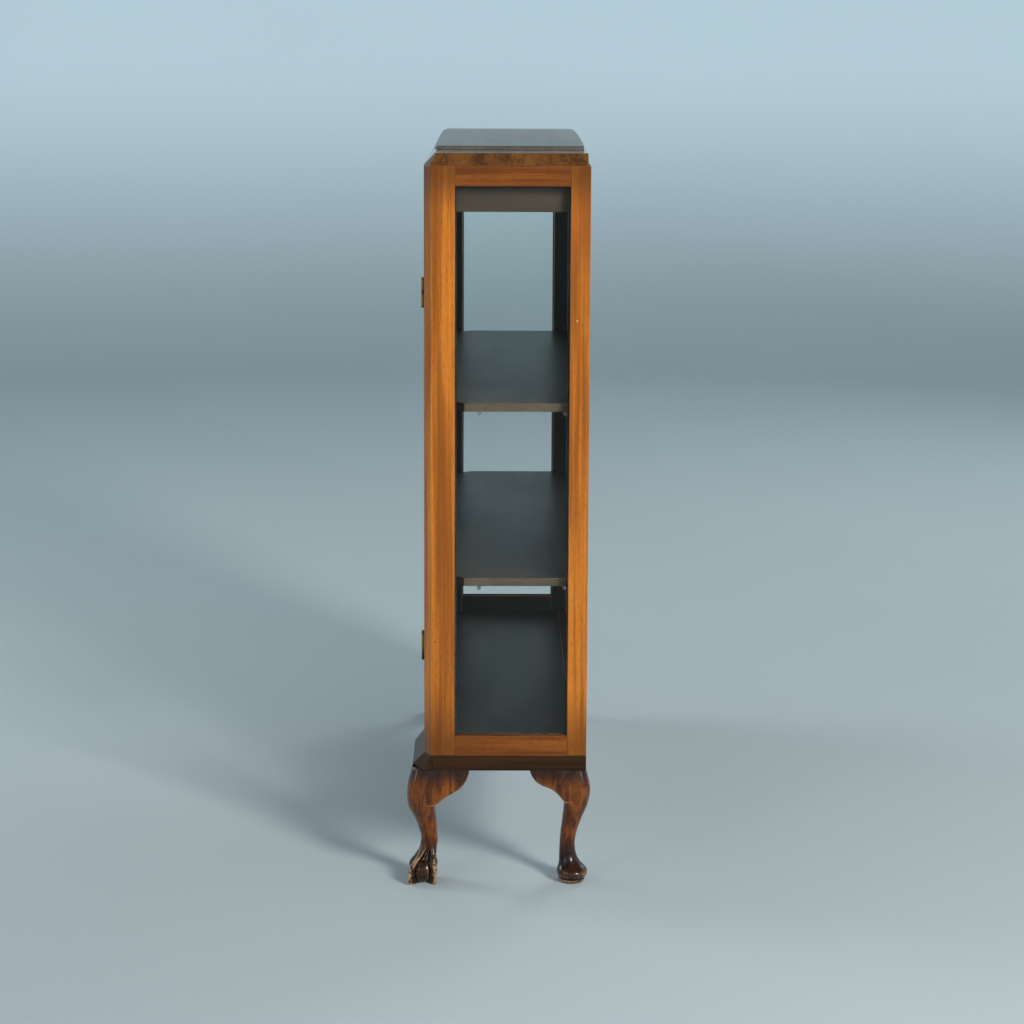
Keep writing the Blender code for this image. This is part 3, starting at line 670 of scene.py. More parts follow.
@dataclass
class Finishes:
    """Every finish of the cabinet, made once."""

    frame: Timber = Timber("golden_frame", deep=(0.290, 0.080, 0.008), light=(0.660, 0.205, 0.022),
                           pore=(0.110, 0.030, 0.006), wear=(0.640, 0.290, 0.090))
    doors: Timber = Timber("golden_doors", deep=(0.270, 0.076, 0.008), light=(0.600, 0.190, 0.020),
                           pore=(0.100, 0.028, 0.006), wear=(0.540, 0.270, 0.100))
    rails: Timber = Timber("brown_rails", deep=(0.130, 0.032, 0.004), light=(0.290, 0.082, 0.009),
                           pore=(0.050, 0.014, 0.004), wear=(0.360, 0.150, 0.050), cloud_amount=0.6)
    top: Timber = Timber("brown_top", deep=(0.075, 0.028, 0.009), light=(0.200, 0.078, 0.018),
                         pore=(0.035, 0.014, 0.006), wear=(0.230, 0.120, 0.050), roughness=(0.22, 0.34),
                         cloud_amount=0.6, coat=0.7, coat_roughness=0.07)
    raised: Timber = Timber("satin_top", deep=(0.085, 0.074, 0.064), light=(0.135, 0.116, 0.098),
                            pore=(0.060, 0.050, 0.042), wear=(0.160, 0.130, 0.105),
                            roughness=(0.30, 0.38), coat=0.22, coat_roughness=0.22, relief=0.15)
    # The plinth's brighter edge colour and larger share also paint a highlight line along its arrises.
    plinth: Timber = Timber("dark_plinth", deep=(0.017, 0.007, 0.002), light=(0.050, 0.018, 0.004),
                            pore=(0.010, 0.005, 0.002), wear=(0.190, 0.095, 0.040), wear_and_highlight_amount=0.6,
                            shine=0.15)
    inside: Timber = Timber("dark_inside", deep=(0.018, 0.014, 0.011), light=(0.034, 0.026, 0.019),
                            pore=(0.010, 0.008, 0.006), wear=(0.050, 0.038, 0.026),
                            roughness=(0.32, 0.48), coat=0.0, shine=0.10, relief=0.08)
    frieze: Timber = Timber("dull_frieze", deep=(0.022, 0.015, 0.009), light=(0.046, 0.032, 0.020),
                            pore=(0.012, 0.008, 0.005), wear=(0.070, 0.052, 0.036),
                            roughness=(0.50, 0.65), coat=0.03)
    backing: Timber = Timber("plywood_back", deep=(0.040, 0.023, 0.013), light=(0.085, 0.048, 0.026),
                             pore=(0.025, 0.014, 0.009), wear=(0.120, 0.080, 0.050),
                             roughness=(0.55, 0.75), coat=0.0, inside=(0.016, 0.012, 0.010))
    bare: Timber = Timber("bare_wood", (0.45, 0.30, 0.17), (0.62, 0.46, 0.30), (0.30, 0.19, 0.10),
                          (0.65, 0.50, 0.35), coat=0.0)
    glass: Glazing = Glazing("clear_pane")
    brass: OldMetal = OldMetal("aged_brass", (0.42, 0.27, 0.10), (0.10, 0.06, 0.03))
    steel: OldMetal = OldMetal("lock_steel", (0.42, 0.40, 0.36), (0.13, 0.11, 0.09))
    made: dict[str, bpy.types.Material] = field(default_factory=dict)

    def once(self, key: str, finish: Glazing | OldMetal) -> bpy.types.Material:
        """Make a finish with no choices the first time, and give the same one after."""
        if key not in self.made:
            self.made[key] = finish.make()
        return self.made[key]


@dataclass
class DressedFrame:
    """The fixed boards of the case and doors, given their finishes and eased arrises."""

    nodes: dict[str, bpy.types.Object]
    finishes: Finishes
    arris: float = 0.0009
    fine_arris: float = 0.0004
    raw_edge: Colour = (0.085, 0.066, 0.045)
    dressed: set[str] = field(default_factory=set)

    def dress(self, node: str, material: bpy.types.Material, arris: float | None = None) -> None:
        """Give a board its material and ease its arrises.

        Args:
            node: Name of the board.
            material: Its finish.
            arris: Width of the eased edge, or None to leave the edges as they are.
        """
        board = self.nodes[node]
        board.data.materials.clear()
        board.data.materials.append(material)
        if arris:
            weld = board.modifiers.new("weld", "WELD")
            weld.merge_threshold = 0.00001
            ease_arrises(board, arris).harden_normals = True
        self.dressed.add(node)

    def dress_case(self) -> None:
        """Finish the posts, rails, panes, boards and shelves."""
        wood = self.finishes
        low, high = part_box("front_post_right")
        ends = (low.z, high.z)
        for number, (side, sign) in enumerate(SIDES.items()):
            inner = (-sign, 0, 0)
            plan = (
                ("front_post", wood.frame, Grain.UPRIGHT, 20, inner, ends, self.arris),
                ("back_post", wood.frame, Grain.UPRIGHT, 30, inner, ends, self.arris),
                ("side_top_rail", wood.rails, Grain.ALONG_Y, 40, inner, None, self.fine_arris),
                ("side_bottom_rail", wood.rails, Grain.ALONG_Y, 50, inner, None, self.arris),
                ("side_frieze", wood.frieze, Grain.ALONG_Y, 60, None, None, self.fine_arris),
                ("plinth_side", wood.plinth, Grain.ALONG_Y, 70, None, None, self.arris),
            )
            for node, finish, grain, shift, face, dark_ends, arris in plan:
                material = finish.make(grain, shift + number, face, dark_ends)
                self.dress(f"{node}_{side}", material, arris)
            self.dress_pane(f"side_glass_{side}")
        boards = (
            ("front_top_rail", wood.rails, 90, (0, 1, 0), self.fine_arris),
            ("top_board", wood.top, 91, None, self.arris),
            ("raised_top", wood.raised, 92, None, self.arris),
            ("plinth_front", wood.plinth, 93, None, self.arris),
            ("plinth_back", wood.plinth, 94, None, self.arris),
            ("bottom_board", wood.inside, 95, None, self.fine_arris),
            ("back_panel", wood.backing, 96, (0, -1, 0), self.fine_arris),
        )
        for node, finish, shift, face, arris in boards:
            self.dress(node, finish.make(Grain.ALONG_X, shift, face), arris)
        for number, shelf in enumerate(("lower_shelf", "upper_shelf")):
            material = wood.inside.make(Grain.ALONG_X, 97 + number, raw_end=self.raw_edge)
            self.dress(shelf, material, self.fine_arris)

    def dress_pane(self, pane: str) -> None:
        """Glaze a pane and let light through it."""
        self.dress(pane, self.finishes.once("glass", self.finishes.glass))
        self.nodes[pane].visible_shadow = False

    def dress_doors(self) -> None:
        """Finish the door frames, panes and their ironmongery."""
        wood = self.finishes
        brass = wood.once("brass", wood.brass)
        steel = wood.once("steel", wood.steel)
        inner = (0, 1, 0)
        for number, side in enumerate(SIDES):
            for stile in ("hinge", "meeting"):
                material = wood.doors.make(Grain.UPRIGHT, 110 + number, inner)
                self.dress(f"door_{stile}_stile_{side}", material, self.arris)
            for rail in ("top", "bottom"):
                material = wood.doors.make(Grain.ALONG_X, 120 + number, inner)
                self.dress(f"door_{rail}_rail_{side}", material, self.arris)
            self.dress_pane(f"door_glass_{side}")
            for level in ("lower", "upper"):
                self.dress(f"hinge_post_leaf_{level}_{side}", brass)
                self.dress(f"hinge_door_leaf_{level}_{side}", brass)
        for node in ("escutcheon", "lock_bolt", "lock_keeper", "slide_bolt_guide", "slide_bolt"):
            self.dress(node, brass)
        for node in ("lock_case", "key"):
            self.dress(node, steel)


@dataclass(frozen=True)
class LegCurves:
    """Shape of one kind of leg: pairs of height and inset or width, and of an ear's reach and drop."""

    inset: Curve
    width: Curve
    ear: Curve


LEG_CURVES: dict[Foot, LegCurves] = {
    Foot.CLAW_AND_BALL: LegCurves(
        inset=((0.0, 0.0179), (0.024, 0.0180), (0.036, 0.0200), (0.050, 0.0250), (0.070, 0.0286),
               (0.088, 0.0268), (0.109, 0.0225), (0.1335, 0.0165), (0.165, 0.0160), (0.198, 0.0210)),
        width=((0.0, 0.046), (0.030, 0.046), (0.050, 0.033), (0.066, 0.0285), (0.078, 0.0285),
               (0.109, 0.036), (0.1335, 0.0455), (0.165, 0.048), (0.184, 0.0455), (0.198, 0.042)),
        ear=((0.020, 0.062), (0.036, 0.061), (0.045, 0.055), (0.056, 0.0465), (0.070, 0.039),
             (0.082, 0.031), (0.090, 0.020), (0.0945, 0.008), (0.095, 0.003)),
    ),
    Foot.PAD: LegCurves(
        inset=((0.0, 0.0226), (0.010, 0.0218), (0.020, 0.0215), (0.040, 0.0280), (0.060, 0.0296),
               (0.080, 0.0280), (0.108, 0.0225), (0.139, 0.0160), (0.165, 0.0161), (0.198, 0.0210)),
        width=((0.0, 0.036), (0.0025, 0.0430), (0.006, 0.0450), (0.0085, 0.0430), (0.012, 0.0490),
               (0.017, 0.0512), (0.022, 0.0490), (0.030, 0.0380), (0.040, 0.0305), (0.055, 0.0265),
               (0.069, 0.0258), (0.085, 0.0275), (0.108, 0.0320), (0.139, 0.0410), (0.165, 0.048),
               (0.184, 0.0455), (0.198, 0.042)),
        ear=((0.020, 0.056), (0.034, 0.055), (0.040, 0.048), (0.048, 0.039), (0.058, 0.0320),
             (0.072, 0.0275), (0.083, 0.021), (0.090, 0.011), (0.093, 0.003)),
    ),
}
CLAW_WEB: Curve = ((0.0, 0.0), (0.030, 0.0), (0.038, 0.0118), (0.046, 0.0122), (0.056, 0.0126),
                   (0.066, 0.0142))
CLAW_REACH: Curve = ((0.0, 0.0285), (0.003, 0.0318), (0.009, 0.0334), (0.015, 0.0322), (0.022, 0.0334),
                     (0.030, 0.0310), (0.036, 0.0262), (0.043, 0.0228), (0.052, 0.0182), (0.066, 0.0146))
CLAW_SPREAD: Curve = ((0.0, 0.10), (0.006, 0.12), (0.014, 0.13), (0.024, 0.17), (0.040, 0.32),
                      (0.066, 0.70))


@dataclass
class CarvedLeg:
    """A cabriole leg, from its carved foot to its knee, with the ears beside the knee."""

    name: str
    corner: tuple[float, float]
    inwards: tuple[int, int]
    foot: Foot
    head: float
    material: bpy.types.Material
    ears: tuple[tuple[int, str], ...]
    sides: int = 96
    foot_levels: int = 56
    shank_levels: int = 48
    foot_height: float = 0.066
    sole_edge: float = 0.0008
    ball_radius: float = 0.0215
    groove_depth: float = 0.0013
    groove_width: float = 0.075
    toe_roundness: float = 0.62
    ear_thickness: float = 0.016
    ear_edge: float = 0.005
    ear_steps: int = 44
    ear_fade_start: float = 0.030
    round_below: float = 0.120
    square_above: float = 0.180
    carving_top: float = 0.054

    @property
    def curves(self) -> LegCurves:
        """Curves of this kind of leg."""
        return LEG_CURVES[self.foot]

    def radius(self, turn: float, height: float) -> float:
        """Distance of the surface from the leg's centreline.

        Args:
            turn: Direction from the centreline, in radians.
            height: Height above the floor.

        Returns:
            The distance, in metres.
        """
        half = smooth_value(self.curves.width, height) / 2
        squareness = ease((height - self.round_below) / (self.square_above - self.round_below))
        power = 2.0 + 1.1 * squareness
        spread = (abs(math.cos(turn)) ** power + abs(math.sin(turn)) ** power) ** (-1 / power)
        plain = half * spread
        if self.foot is Foot.PAD or height > self.foot_height:
            return plain
        return self.claw_radius(turn, height, plain)

    def claw_radius(self, turn: float, height: float, plain: float) -> float:
        """Surface of the carved foot: four clawed toes gripping a ball.

        Args:
            turn: Direction from the centreline, in radians.
            height: Height above the floor.
            plain: Radius of the plain shank there.

        Returns:
            The distance, in metres.
        """
        ball_middle = self.ball_radius * 0.98
        drop = (height - ball_middle) / self.ball_radius
        ball = self.ball_radius * math.sqrt(max(0.0, 1 - drop * drop)) if abs(drop) < 1 else 0.0
        web = smooth_value(CLAW_WEB, height)
        between = max(ball, web)
        toe = smooth_value(CLAW_REACH, height)
        spread = smooth_value(CLAW_SPREAD, height)
        quarter = math.pi / 2
        offset = abs((turn % quarter) - quarter / 2)
        ridge = max(0.0, 1 - (offset / spread) ** 2) ** self.toe_roundness
        fade = ease((self.foot_height - height) / 0.02)
        groove = self.groove_depth * math.exp(-((offset - spread) / self.groove_width) ** 2) * fade
        carved = between + max(0.0, toe - between) * ridge - groove
        blend = ease((height - self.carving_top) / (self.foot_height - self.carving_top))
        return carved + (plain - carved) * blend

    def level(self, height: float) -> list[Point]:
        """Ring of points at one height."""
        inset = smooth_value(self.curves.inset, height)
        middle_x = self.corner[0] + self.inwards[0] * inset
        middle_y = self.corner[1] + self.inwards[1] * inset
        ring = []
        for i in range(self.sides):
            turn = math.tau * i / self.sides
            reach = self.radius(turn, height)
            ring.append((middle_x + reach * math.cos(turn), middle_y + reach * math.sin(turn), height))
        return ring

    def build_shank(self) -> bpy.types.Object:
        """Build the leg itself and let it stand for its plain solid.

        Returns:
            The carved leg.
        """
        shape = bmesh.new()
        heights = [self.foot_height * i / self.foot_levels for i in range(self.foot_levels)]
        shank = self.head - self.foot_height
        heights += [self.foot_height + shank * i / self.shank_levels for i in range(self.shank_levels + 1)]
        rings = [self.level(height) for height in heights]
        if self.foot is Foot.CLAW_AND_BALL:
            middle = Vector(rings[0][0]).lerp(Vector(rings[0][self.sides // 2]), 0.5)
            sole = [tuple(middle.lerp(Vector(point), 0.9)) for point in rings[0]]
            rings[:1] = [sole, [(x, y, self.sole_edge) for x, y, _ in rings[0]]]
        add_loft(shape, rings)
        leg = new_piece(f"carved_{self.name}", shape, self.material, "cabinet", 60.0)
        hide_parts(self.name)
        return leg

    def knee_offset(self, height: float) -> float:
        """How far the knee's flat face lies inside the case's plane, negative where it stands proud."""
        return smooth_value(self.curves.inset, height) - smooth_value(self.curves.width, height) / 2

    def build_ear(self, axis: int, node: str) -> bpy.types.Object:
        """Build the curved ear that runs along one side of the plinth.

        Args:
            axis: Axis that the ear runs along, 0 for X and 1 for Y.
            node: Plain solid that it stands for.

        Returns:
            The carved ear.
        """
        shape = bmesh.new()
        across = 1 - axis
        length = self.curves.ear[-1][0]
        rings = []
        for step in range(self.ear_steps + 1):
            place = (len(self.curves.ear) - 1) * step / self.ear_steps
            reach = smooth_value([(i, d) for i, (d, _) in enumerate(self.curves.ear)], place)
            drop = smooth_value([(i, d) for i, (_, d) in enumerate(self.curves.ear)], place)
            fade = ease((reach - self.ear_fade_start) / (length - self.ear_fade_start))
            rings.append(self.ear_section(axis, across, reach, drop, fade))
        add_loft(shape, rings)
        ear = new_piece(f"carved_{node}", shape, self.material, "cabinet", 50.0)
        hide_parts(node)
        return ear

    def ear_section(self, axis: int, across: int, reach: float, drop: float, fade: float) -> list[Point]:
        """Upright section of an ear.

        Args:
            axis: Axis that the ear runs along.
            across: The other axis.
            reach: Distance from the corner.
            drop: Depth of the ear there.
            fade: 0 at the knee, where it stands proud, to 1 at the tip, where it is flush.

        Returns:
            Points round the section.
        """
        low = self.head - drop
        edge = min(self.ear_edge, drop * 0.45)
        outline = []
        for i in range(13):
            height = self.head - (drop - edge) * i / 12
            proud = self.knee_offset(height)
            outline.append((proud * (1 - fade) + 0.001 * fade + 0.0008, height))
        start = outline[-1][0]
        for i in range(1, 7):
            turn = math.pi / 2 * i / 6
            outline.append((start + edge * (1 - math.cos(turn)), low + edge * (1 - math.sin(turn))))
        outline.append((self.ear_thickness, low))
        outline.append((self.ear_thickness, self.head))
        ring = []
        for inset, height in outline:
            point = [0.0, 0.0, height]
            point[axis] = self.corner[axis] + self.inwards[axis] * reach
            point[across] = self.corner[across] + self.inwards[across] * inset
            ring.append(tuple(point))
        return ring

    def build(self) -> list[bpy.types.Object]:
        """Build the leg and its ears.

        Returns:
            The pieces.
        """
        pieces = [self.build_shank()]
        for axis, node in self.ears:
            pieces.append(self.build_ear(axis, node))
        return pieces


@dataclass
class Legs:
    """The four legs under the plinth."""

    def build(self) -> list[bpy.types.Object]:
        """Build all four legs.

        Returns:
            Every carved piece.
        """
        plinth_low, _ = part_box("plinth_side_right")
        block_low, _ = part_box("plinth_block_right")
        _, post_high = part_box("back_post_right")
        leg_low, leg_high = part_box("front_leg_right")
        # The carved finish paints shade below the plinth and in the hollows, and a dark floor reflection
        # that fades out above foot_height.
        finish = CarvedTimber("carved_leg", deep=(0.070, 0.015, 0.002), light=(0.255, 0.066, 0.006),
                              dark=(0.008, 0.004, 0.003), wear=(0.600, 0.320, 0.150),
                              plinth_height=plinth_low.z, foot_height=0.036)
        material = finish.make()
        pieces = []
        for side, sign in SIDES.items():
            plane = sign * post_high.x
            front_ears = ((1, f"front_leg_side_ear_{side}"), (0, f"front_leg_front_ear_{side}"))
            front = CarvedLeg(f"front_leg_{side}", (plane, block_low.y), (-sign, 1), Foot.CLAW_AND_BALL,
                              leg_high.z, material, front_ears)
            back = CarvedLeg(f"back_leg_{side}", (plane, post_high.y), (-sign, -1), Foot.PAD,
                             leg_high.z, material, ((1, f"back_leg_side_ear_{side}"),))
            pieces += front.build() + back.build()
        return pieces


@dataclass
class FlaredBlocks:
    """The breakfront corner blocks of the plinth, with their twisted flares drawn out smoothly."""

    finishes: Finishes
    cant: float = 0.036
    post_cant: tuple[float, float] = (0.0196, 0.0113)
    return_width: float = 0.040
    levels: int = 10
    steps: int = 8
    arris: float = 0.0009

    def outlines(self, node: str, sign: int) -> tuple[Curve, Curve]:
        """Outlines of a block at its foot and at its head.

        Args:
            node: Plain solid of the block.
            sign: 1 on the right and -1 on the left.

        Returns:
            Points of the foot and of the head, in the same order.
        """
        low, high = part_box(node)
        face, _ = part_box("plinth_front")
        outer = high.x if sign > 0 else -low.x
        inner = low.x if sign > 0 else -high.x
        foot = [(outer, high.y), (inner, high.y), (inner, face.y), (inner + self.return_width, low.y),
                (outer - self.cant, low.y), (outer, face.y)]
        head = [(outer, high.y), (inner, high.y), (inner, face.y), (inner + self.return_width, face.y),
                (outer - self.post_cant[0], face.y), (outer, face.y + self.post_cant[1])]
        return [(sign * x, y) for x, y in foot], [(sign * x, y) for x, y in head]

    def divided(self, outline: Curve) -> Curve:
        """The same outline with each edge cut into equal steps."""
        points = []
        for i, (x, y) in enumerate(outline):
            next_x, next_y = outline[(i + 1) % len(outline)]
            for step in range(self.steps):
                share = step / self.steps
                points.append((x + (next_x - x) * share, y + (next_y - y) * share))
        return points

    def build(self) -> list[bpy.types.Object]:
        """Build both blocks.

        Returns:
            The blocks.
        """
        pieces = []
        for number, (side, sign) in enumerate(SIDES.items()):
            node = f"plinth_block_{side}"
            low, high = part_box(node)
            foot, head = (self.divided(outline) for outline in self.outlines(node, sign))
            rings = []
            for level in range(self.levels + 1):
                share = level / self.levels
                height = low.z + (high.z - low.z) * share
                rings.append([(x0 + (x1 - x0) * share, y0 + (y1 - y0) * share, height)
                              for (x0, y0), (x1, y1) in zip(foot, head)])
            shape = bmesh.new()
            add_loft(shape, rings)
            block = new_piece(f"flared_{node}", shape, self.finishes.plinth.make(Grain.ALONG_X, 80 + number),
                              "cabinet", 24.0)
            ease_arrises(block, self.arris)
            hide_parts(node)
            pieces.append(block)
        return pieces


@dataclass
class GlazingBeads:
    """Mitred quarter-round beads that hold a pane in its frame."""

    finishes: Finishes
    size: float = 0.0028
    arc_steps: int = 6

    def build_frame(self, name: str, node: str, axis: int, sign: int, slot: str, body: str,
                    material: bpy.types.Material) -> bpy.types.Object:
        """Build the bead round one face of a pane.

        Args:
            name: Name of the piece.
            node: Pane that it holds.
            axis: Axis across the pane.
            sign: Side of the pane that it is on.
            slot: Not used.
            body: Body that it rides on.
            material: Its finish.

        Returns:
            The bead.
        """
        low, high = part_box(node)
        face = high[axis] if sign > 0 else low[axis]
        along = 1 - axis
        profile = [(0.0, 0.0002), (0.0, self.size)]
        for i in range(self.arc_steps + 1):
            turn = math.pi / 2 * i / self.arc_steps
            inset = self.size * (0.25 + 0.75 * math.sin(turn))
            rise = self.size * (0.2 + 0.75 * math.cos(turn))
            profile.append((inset, rise))
        profile.append((self.size, 0.0002))
        rings = []
        for inset, rise in profile:
            ring = []
            for end, level in ((0, 0), (1, 0), (1, 1), (0, 1)):
                point = [0.0, 0.0, 0.0]
                point[axis] = face + sign * rise
                point[along] = high[along] - inset if end else low[along] + inset
                point[2] = high.z - inset if level else low.z + inset
                ring.append(tuple(point))
            rings.append(ring)
        shape = bmesh.new()
        add_loft(shape, rings, closed=True)
        return new_piece(name, shape, material, body, 30.0)

    def build(self) -> list[bpy.types.Object]:
        """Build the beads of every pane.

        Returns:
            The beads.
        """
        pieces = []
        dark = self.finishes.inside.make(Grain.UPRIGHT, 130)
        golden = self.finishes.doors.make(Grain.UPRIGHT, 131)
        for side, sign in SIDES.items():
            door = f"door_{side}"
            pane = f"door_glass_{side}"
            beads = (
                ("side_bead", f"side_glass_{side}", 0, -sign, "dark_wood", "cabinet", dark),
                ("door_inner_bead", pane, 1, 1, "dark_wood", door, dark),
                ("door_outer_bead", pane, 1, -1, "frame_wood", door, golden),
            )
            for name, *rest in beads:
                pieces.append(self.build_frame(f"{name}_{side}", *rest))
        return pieces


@dataclass
class SmallFixings:
    """Pegs, screws, pins and plugs."""

    finishes: Finishes
    peg_radius: float = 0.003
    peg_length: float = 0.010
    peg_places: tuple[float, float] = (0.24, 0.86)
    pin_radius: float = 0.0022
    head_radius: float = 0.0021
    pin_head_radius: float = 0.0011

    def add_pegs(self) -> bpy.types.Object:
        """Build the domed pegs that the shelves lie on.

        Returns:
            The pegs as one piece.
        """
        shape = bmesh.new()
        for shelf in ("lower_shelf", "upper_shelf"):
            low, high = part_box(shelf)
            depth = high.y - low.y
            for share in self.peg_places:
                for sign, face in ((1, Face.MINUS_X), (-1, Face.PLUS_X)):
                    wall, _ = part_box("back_post_right")
                    centre = Vector((sign * wall.x, low.y + depth * share, low.z - self.peg_radius - 0.0003))
                    profile = [(self.peg_radius, -0.002), (self.peg_radius, self.peg_length * 0.8),
                               (self.peg_radius * 0.8, self.peg_length * 0.95),
                               (self.peg_radius * 0.3, self.peg_length)]
                    add_turned(shape, centre, face, profile)
        steel = self.finishes.once("steel", self.finishes.steel)
        return new_piece("shelf_pegs", shape, steel, "cabinet")

    def add_marks(self) -> list[bpy.types.Object]:
        """Build the marks of age on the right end: a plug, a small hole drawn as a dark disc of painted
        shade, and a chip.

        Returns:
            The marks, each in its own finish.
        """
        _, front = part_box("front_post_right")
        _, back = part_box("back_post_right")
        wood = self.finishes
        plug = [(0.0036, -0.0004), (0.0036, 0.0001), (0.0030, 0.0002)]
        hole = [(0.0013, -0.0004), (0.0013, 0.0001), (0.0006, 0.00005)]
        chip = [(0.0017, -0.0004), (0.0017, 0.0001), (0.0009, 0.0002)]
        marks = (
            ("post_plug", (back.x, back.y - 0.0233, 0.244), plug, wood.rails, 140, 20),
            # The hole is a flush dark disc: painted shade standing for its depth.
            ("post_hole_shade", (front.x, -0.1059, 0.418), hole, wood.plinth, 141, 14),
            ("post_chip", (back.x, back.y - 0.0208, 0.952), chip, wood.bare, 142, 5),
        )
        pieces = []
        for name, centre, profile, finish, shift, sides in marks:
            shape = bmesh.new()
            add_turned(shape, Vector(centre), Face.PLUS_X, profile, sides)
            material = finish.make(Grain.UPRIGHT, shift)
            pieces.append(new_piece(name, shape, material, "cabinet"))
        return pieces

    def add_back_pins(self) -> bpy.types.Object:
        """Build the round-headed pins round the back panel.

        Returns:
            The pins as one piece.
        """
        low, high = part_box("back_panel")
        shape = bmesh.new()
        profile = [(self.pin_radius, 0.0), (self.pin_radius, 0.0004), (self.pin_radius * 0.6, 0.0010),
                   (self.pin_radius * 0.15, 0.0012)]
        margin = 0.009
        rows = 7
        for i in range(rows):
            share = i / (rows - 1)
            height = low.z + margin + (high.z - low.z - 2 * margin) * share
            for x in (low.x + margin, 0.0, high.x - margin):
                add_turned(shape, Vector((x, high.y, height)), Face.PLUS_Y, profile, 12)
        steel = self.finishes.once("steel", self.finishes.steel)
        return new_piece("back_panel_pins", shape, steel, "cabinet")

    def screw_row(self, name: str, node: str, face: Face, places: Curve, body: str,
                  radius: float, height: float) -> bpy.types.Object:
        """Build slotted screw heads on one face of a plate.

        Args:
            name: Name of the piece.
            node: Plate that they hold.
            face: Face of the plate.
            places: Shares of the plate's width and height.
            body: Body that they ride on.
            radius: Radius of a head.
            height: How far a head stands proud.

        Returns:
            The screws as one piece.
        """
        low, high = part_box(node)
        normal = Vector(face.value)
        shape = bmesh.new()
        for number, (share, level) in enumerate(places):
            centre = low.lerp(high, 0.5)
            axis = 0 if normal.x else 1
            centre[axis] = high[axis] if sum(normal) > 0 else low[axis]
            centre[1 - axis] = low[1 - axis] + (high[1 - axis] - low[1 - axis]) * share
            centre.z = low.z + (high.z - low.z) * level
            add_slotted_head(shape, centre, face, radius, height, 0.6 + 1.7 * number)
        brass = self.finishes.once("brass", self.finishes.brass)
        return new_piece(name, shape, brass, body)

    def build(self) -> list[bpy.types.Object]:
        """Build every small fixing.

        Returns:
            The pieces.
        """
        pieces = [self.add_pegs(), self.add_back_pins(), *self.add_marks()]
        corners = ((0.14, 0.09), (0.86, 0.09), (0.14, 0.91), (0.86, 0.91))
        ends = ((0.14, 0.5), (0.86, 0.5))
        staple = ((0.5, 0.14), (0.5, 0.86))
        plate = ((0.5, 0.08), (0.5, 0.92))
        back, front = Face.PLUS_Y, Face.MINUS_Y
        rows = (
            ("lock_case_screws", "lock_case", back, corners, "door_right", self.head_radius, 0.0006),
            ("slide_guide_screws", "slide_bolt_guide", back, ends, "door_left", self.head_radius, 0.0006),
            ("keeper_screws", "lock_keeper", back, staple, "door_left", self.head_radius * 0.8, 0.0006),
            ("escutcheon_pins", "escutcheon", front, plate, "door_right", self.pin_head_radius, 0.0004),
        )
        for row in rows:
            pieces.append(self.screw_row(*row))
        return pieces


@dataclass(frozen=True)
class SoftLight:
    """One soft light: its place, the width and height of its face, its watts and its colour."""

    name: str
    place: Point
    size: tuple[float, float]
    power: float
    colour: Colour

    def hang(self, target: Point) -> None:
        """Hang the light so that it faces a point."""
        data = bpy.data.lights.new(self.name, "AREA")
        data.shape = "RECTANGLE"
        data.size, data.size_y = self.size
        data.energy = self.power
        data.color = self.colour
        light = bpy.data.objects.new(self.name, data)
        light.location = self.place
        light.rotation_euler = (Vector(target) - Vector(self.place)).to_track_quat("-Z", "Y").to_euler()
        bpy.context.scene.collection.objects.link(light)


WARM: Colour = (1.0, 0.965, 0.92)
COOL: Colour = (0.94, 0.97, 1.0)
LIGHTS: tuple[SoftLight, ...] = (
    SoftLight("key", (3.6, 2.6, 2.6), (0.9, 1.6), 175.0, WARM),
    SoftLight("fill", (3.4, -2.8, 1.9), (0.8, 1.5), 16.0, WARM),
    SoftLight("front", (-1.2, -4.0, 2.4), (1.8, 1.8), 60.0, COOL),
    SoftLight("back", (-3.0, 2.6, 3.0), (1.8, 1.8), 45.0, COOL),
)


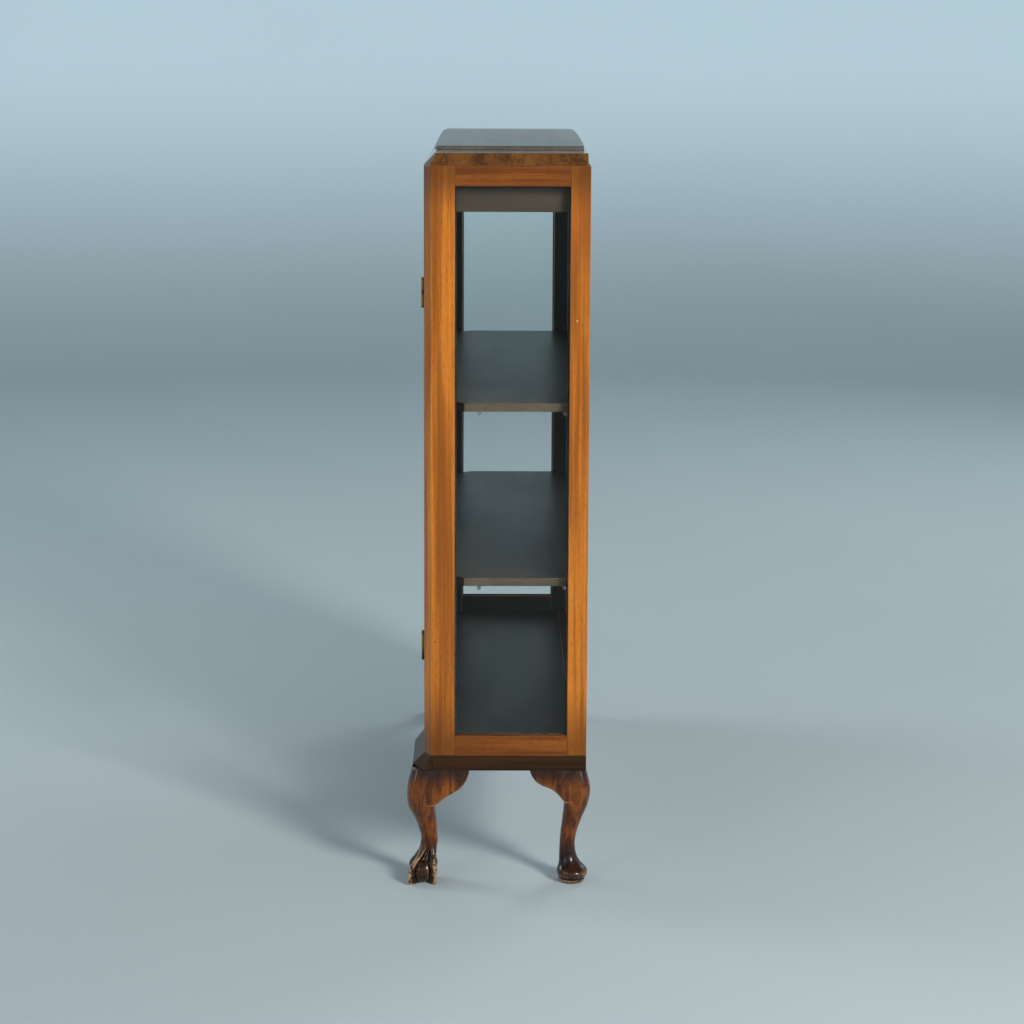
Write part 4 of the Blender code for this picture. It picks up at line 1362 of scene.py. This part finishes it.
@dataclass
class Studio:
    """Pale floor, soft lights and the camera."""

    lights: tuple[SoftLight, ...] = LIGHTS
    lit_height: float = 0.62
    camera_distance: float = 3.60
    camera_height: float = 1.404
    camera_side: float = -0.0152
    tilt_degrees: float = 7.65
    yaw_degrees: float = 0.54
    roll_degrees: float = 0.24
    lens: float = 78.8
    shift_y: float = -0.1677
    floor_radius: float = 5.4
    cove_radius: float = 1.8
    cove_height: float = 6.0
    sides: int = 128
    sky: Colour = (0.62, 0.70, 0.73)
    sky_strength: float = 0.16

    def build_floor(self) -> None:
        """Lay the floor, which sweeps up into a round wall."""
        profile = [(0.4, 0.0), (2.0, 0.0), (self.floor_radius, 0.0)]
        for i in range(1, 17):
            turn = math.pi / 2 * i / 16
            profile.append((self.floor_radius + self.cove_radius * math.sin(turn),
                            self.cove_radius * (1 - math.cos(turn))))
        profile.append((self.floor_radius + self.cove_radius, self.cove_height))
        shape = bmesh.new()
        loops = []
        for radius, height in profile:
            turns = [math.tau * i / self.sides for i in range(self.sides)]
            loops.append([shape.verts.new((radius * math.cos(turn), radius * math.sin(turn), height))
                          for turn in turns])
        shape.faces.new(loops[0])
        for inner, outer in zip(loops, loops[1:]):
            for i in range(self.sides):
                shape.faces.new((inner[i - 1], outer[i - 1], outer[i], inner[i]))
        mesh = bpy.data.meshes.new("studio_floor")
        shape.to_mesh(mesh)
        shape.free()
        mesh.shade_smooth()
        mesh.materials.append(StudioFloor().make())
        floor = bpy.data.objects.new("studio_floor", mesh)
        bpy.context.scene.collection.objects.link(floor)

    def build_world(self) -> None:
        """Give the studio an even soft surround."""
        world = bpy.data.worlds.new("studio")
        world.use_nodes = True
        background = world.node_tree.nodes["Background"]
        background.inputs["Color"].default_value = (*self.sky, 1.0)
        background.inputs["Strength"].default_value = self.sky_strength
        bpy.context.scene.world = world

    def build_camera(self) -> None:
        """Set the camera at the height and angle of someone standing at the cabinet's end."""
        _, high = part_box("back_post_right")
        data = bpy.data.cameras.new("camera")
        data.lens = self.lens
        data.sensor_width = 36.0
        data.shift_y = self.shift_y
        data.clip_end = 120.0
        camera = bpy.data.objects.new("camera", data)
        camera.location = (high.x + self.camera_distance, self.camera_side, self.camera_height)
        tilt = math.radians(self.tilt_degrees)
        yaw = math.radians(self.yaw_degrees)
        view = Vector((-math.cos(tilt) * math.cos(yaw), math.cos(tilt) * math.sin(yaw), -math.sin(tilt)))
        roll = Quaternion((0.0, 0.0, 1.0), math.radians(self.roll_degrees))
        camera.rotation_euler = (view.to_track_quat("-Z", "Y") @ roll).to_euler()
        bpy.context.scene.collection.objects.link(camera)
        bpy.context.scene.camera = camera

    def build(self) -> None:
        """Set up the studio."""
        self.build_floor()
        self.build_world()
        for light in self.lights:
            light.hang((0.0, 0.0, self.lit_height))
        self.build_camera()
        view = bpy.context.scene.view_settings
        view.view_transform = "Standard"
        view.look = "None"


def main() -> None:
    """Load the frame, dress it and build what the frame leaves out."""
    logging.basicConfig(level=logging.INFO, format="%(name)s: %(message)s")
    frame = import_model()
    finishes = Finishes()
    case = DressedFrame(frame["nodes"], finishes)
    case.dress_case()
    case.dress_doors()
    LOG.info("dressed %d boards and fittings", len(case.dressed))
    for builder in (Legs(), FlaredBlocks(finishes), GlazingBeads(finishes), SmallFixings(finishes)):
        for piece in builder.build():
            LOG.info("%s: %s with %d faces", type(builder).__name__, piece.name, len(piece.data.polygons))
    Studio().build()


if __name__ == "__main__":
    main()
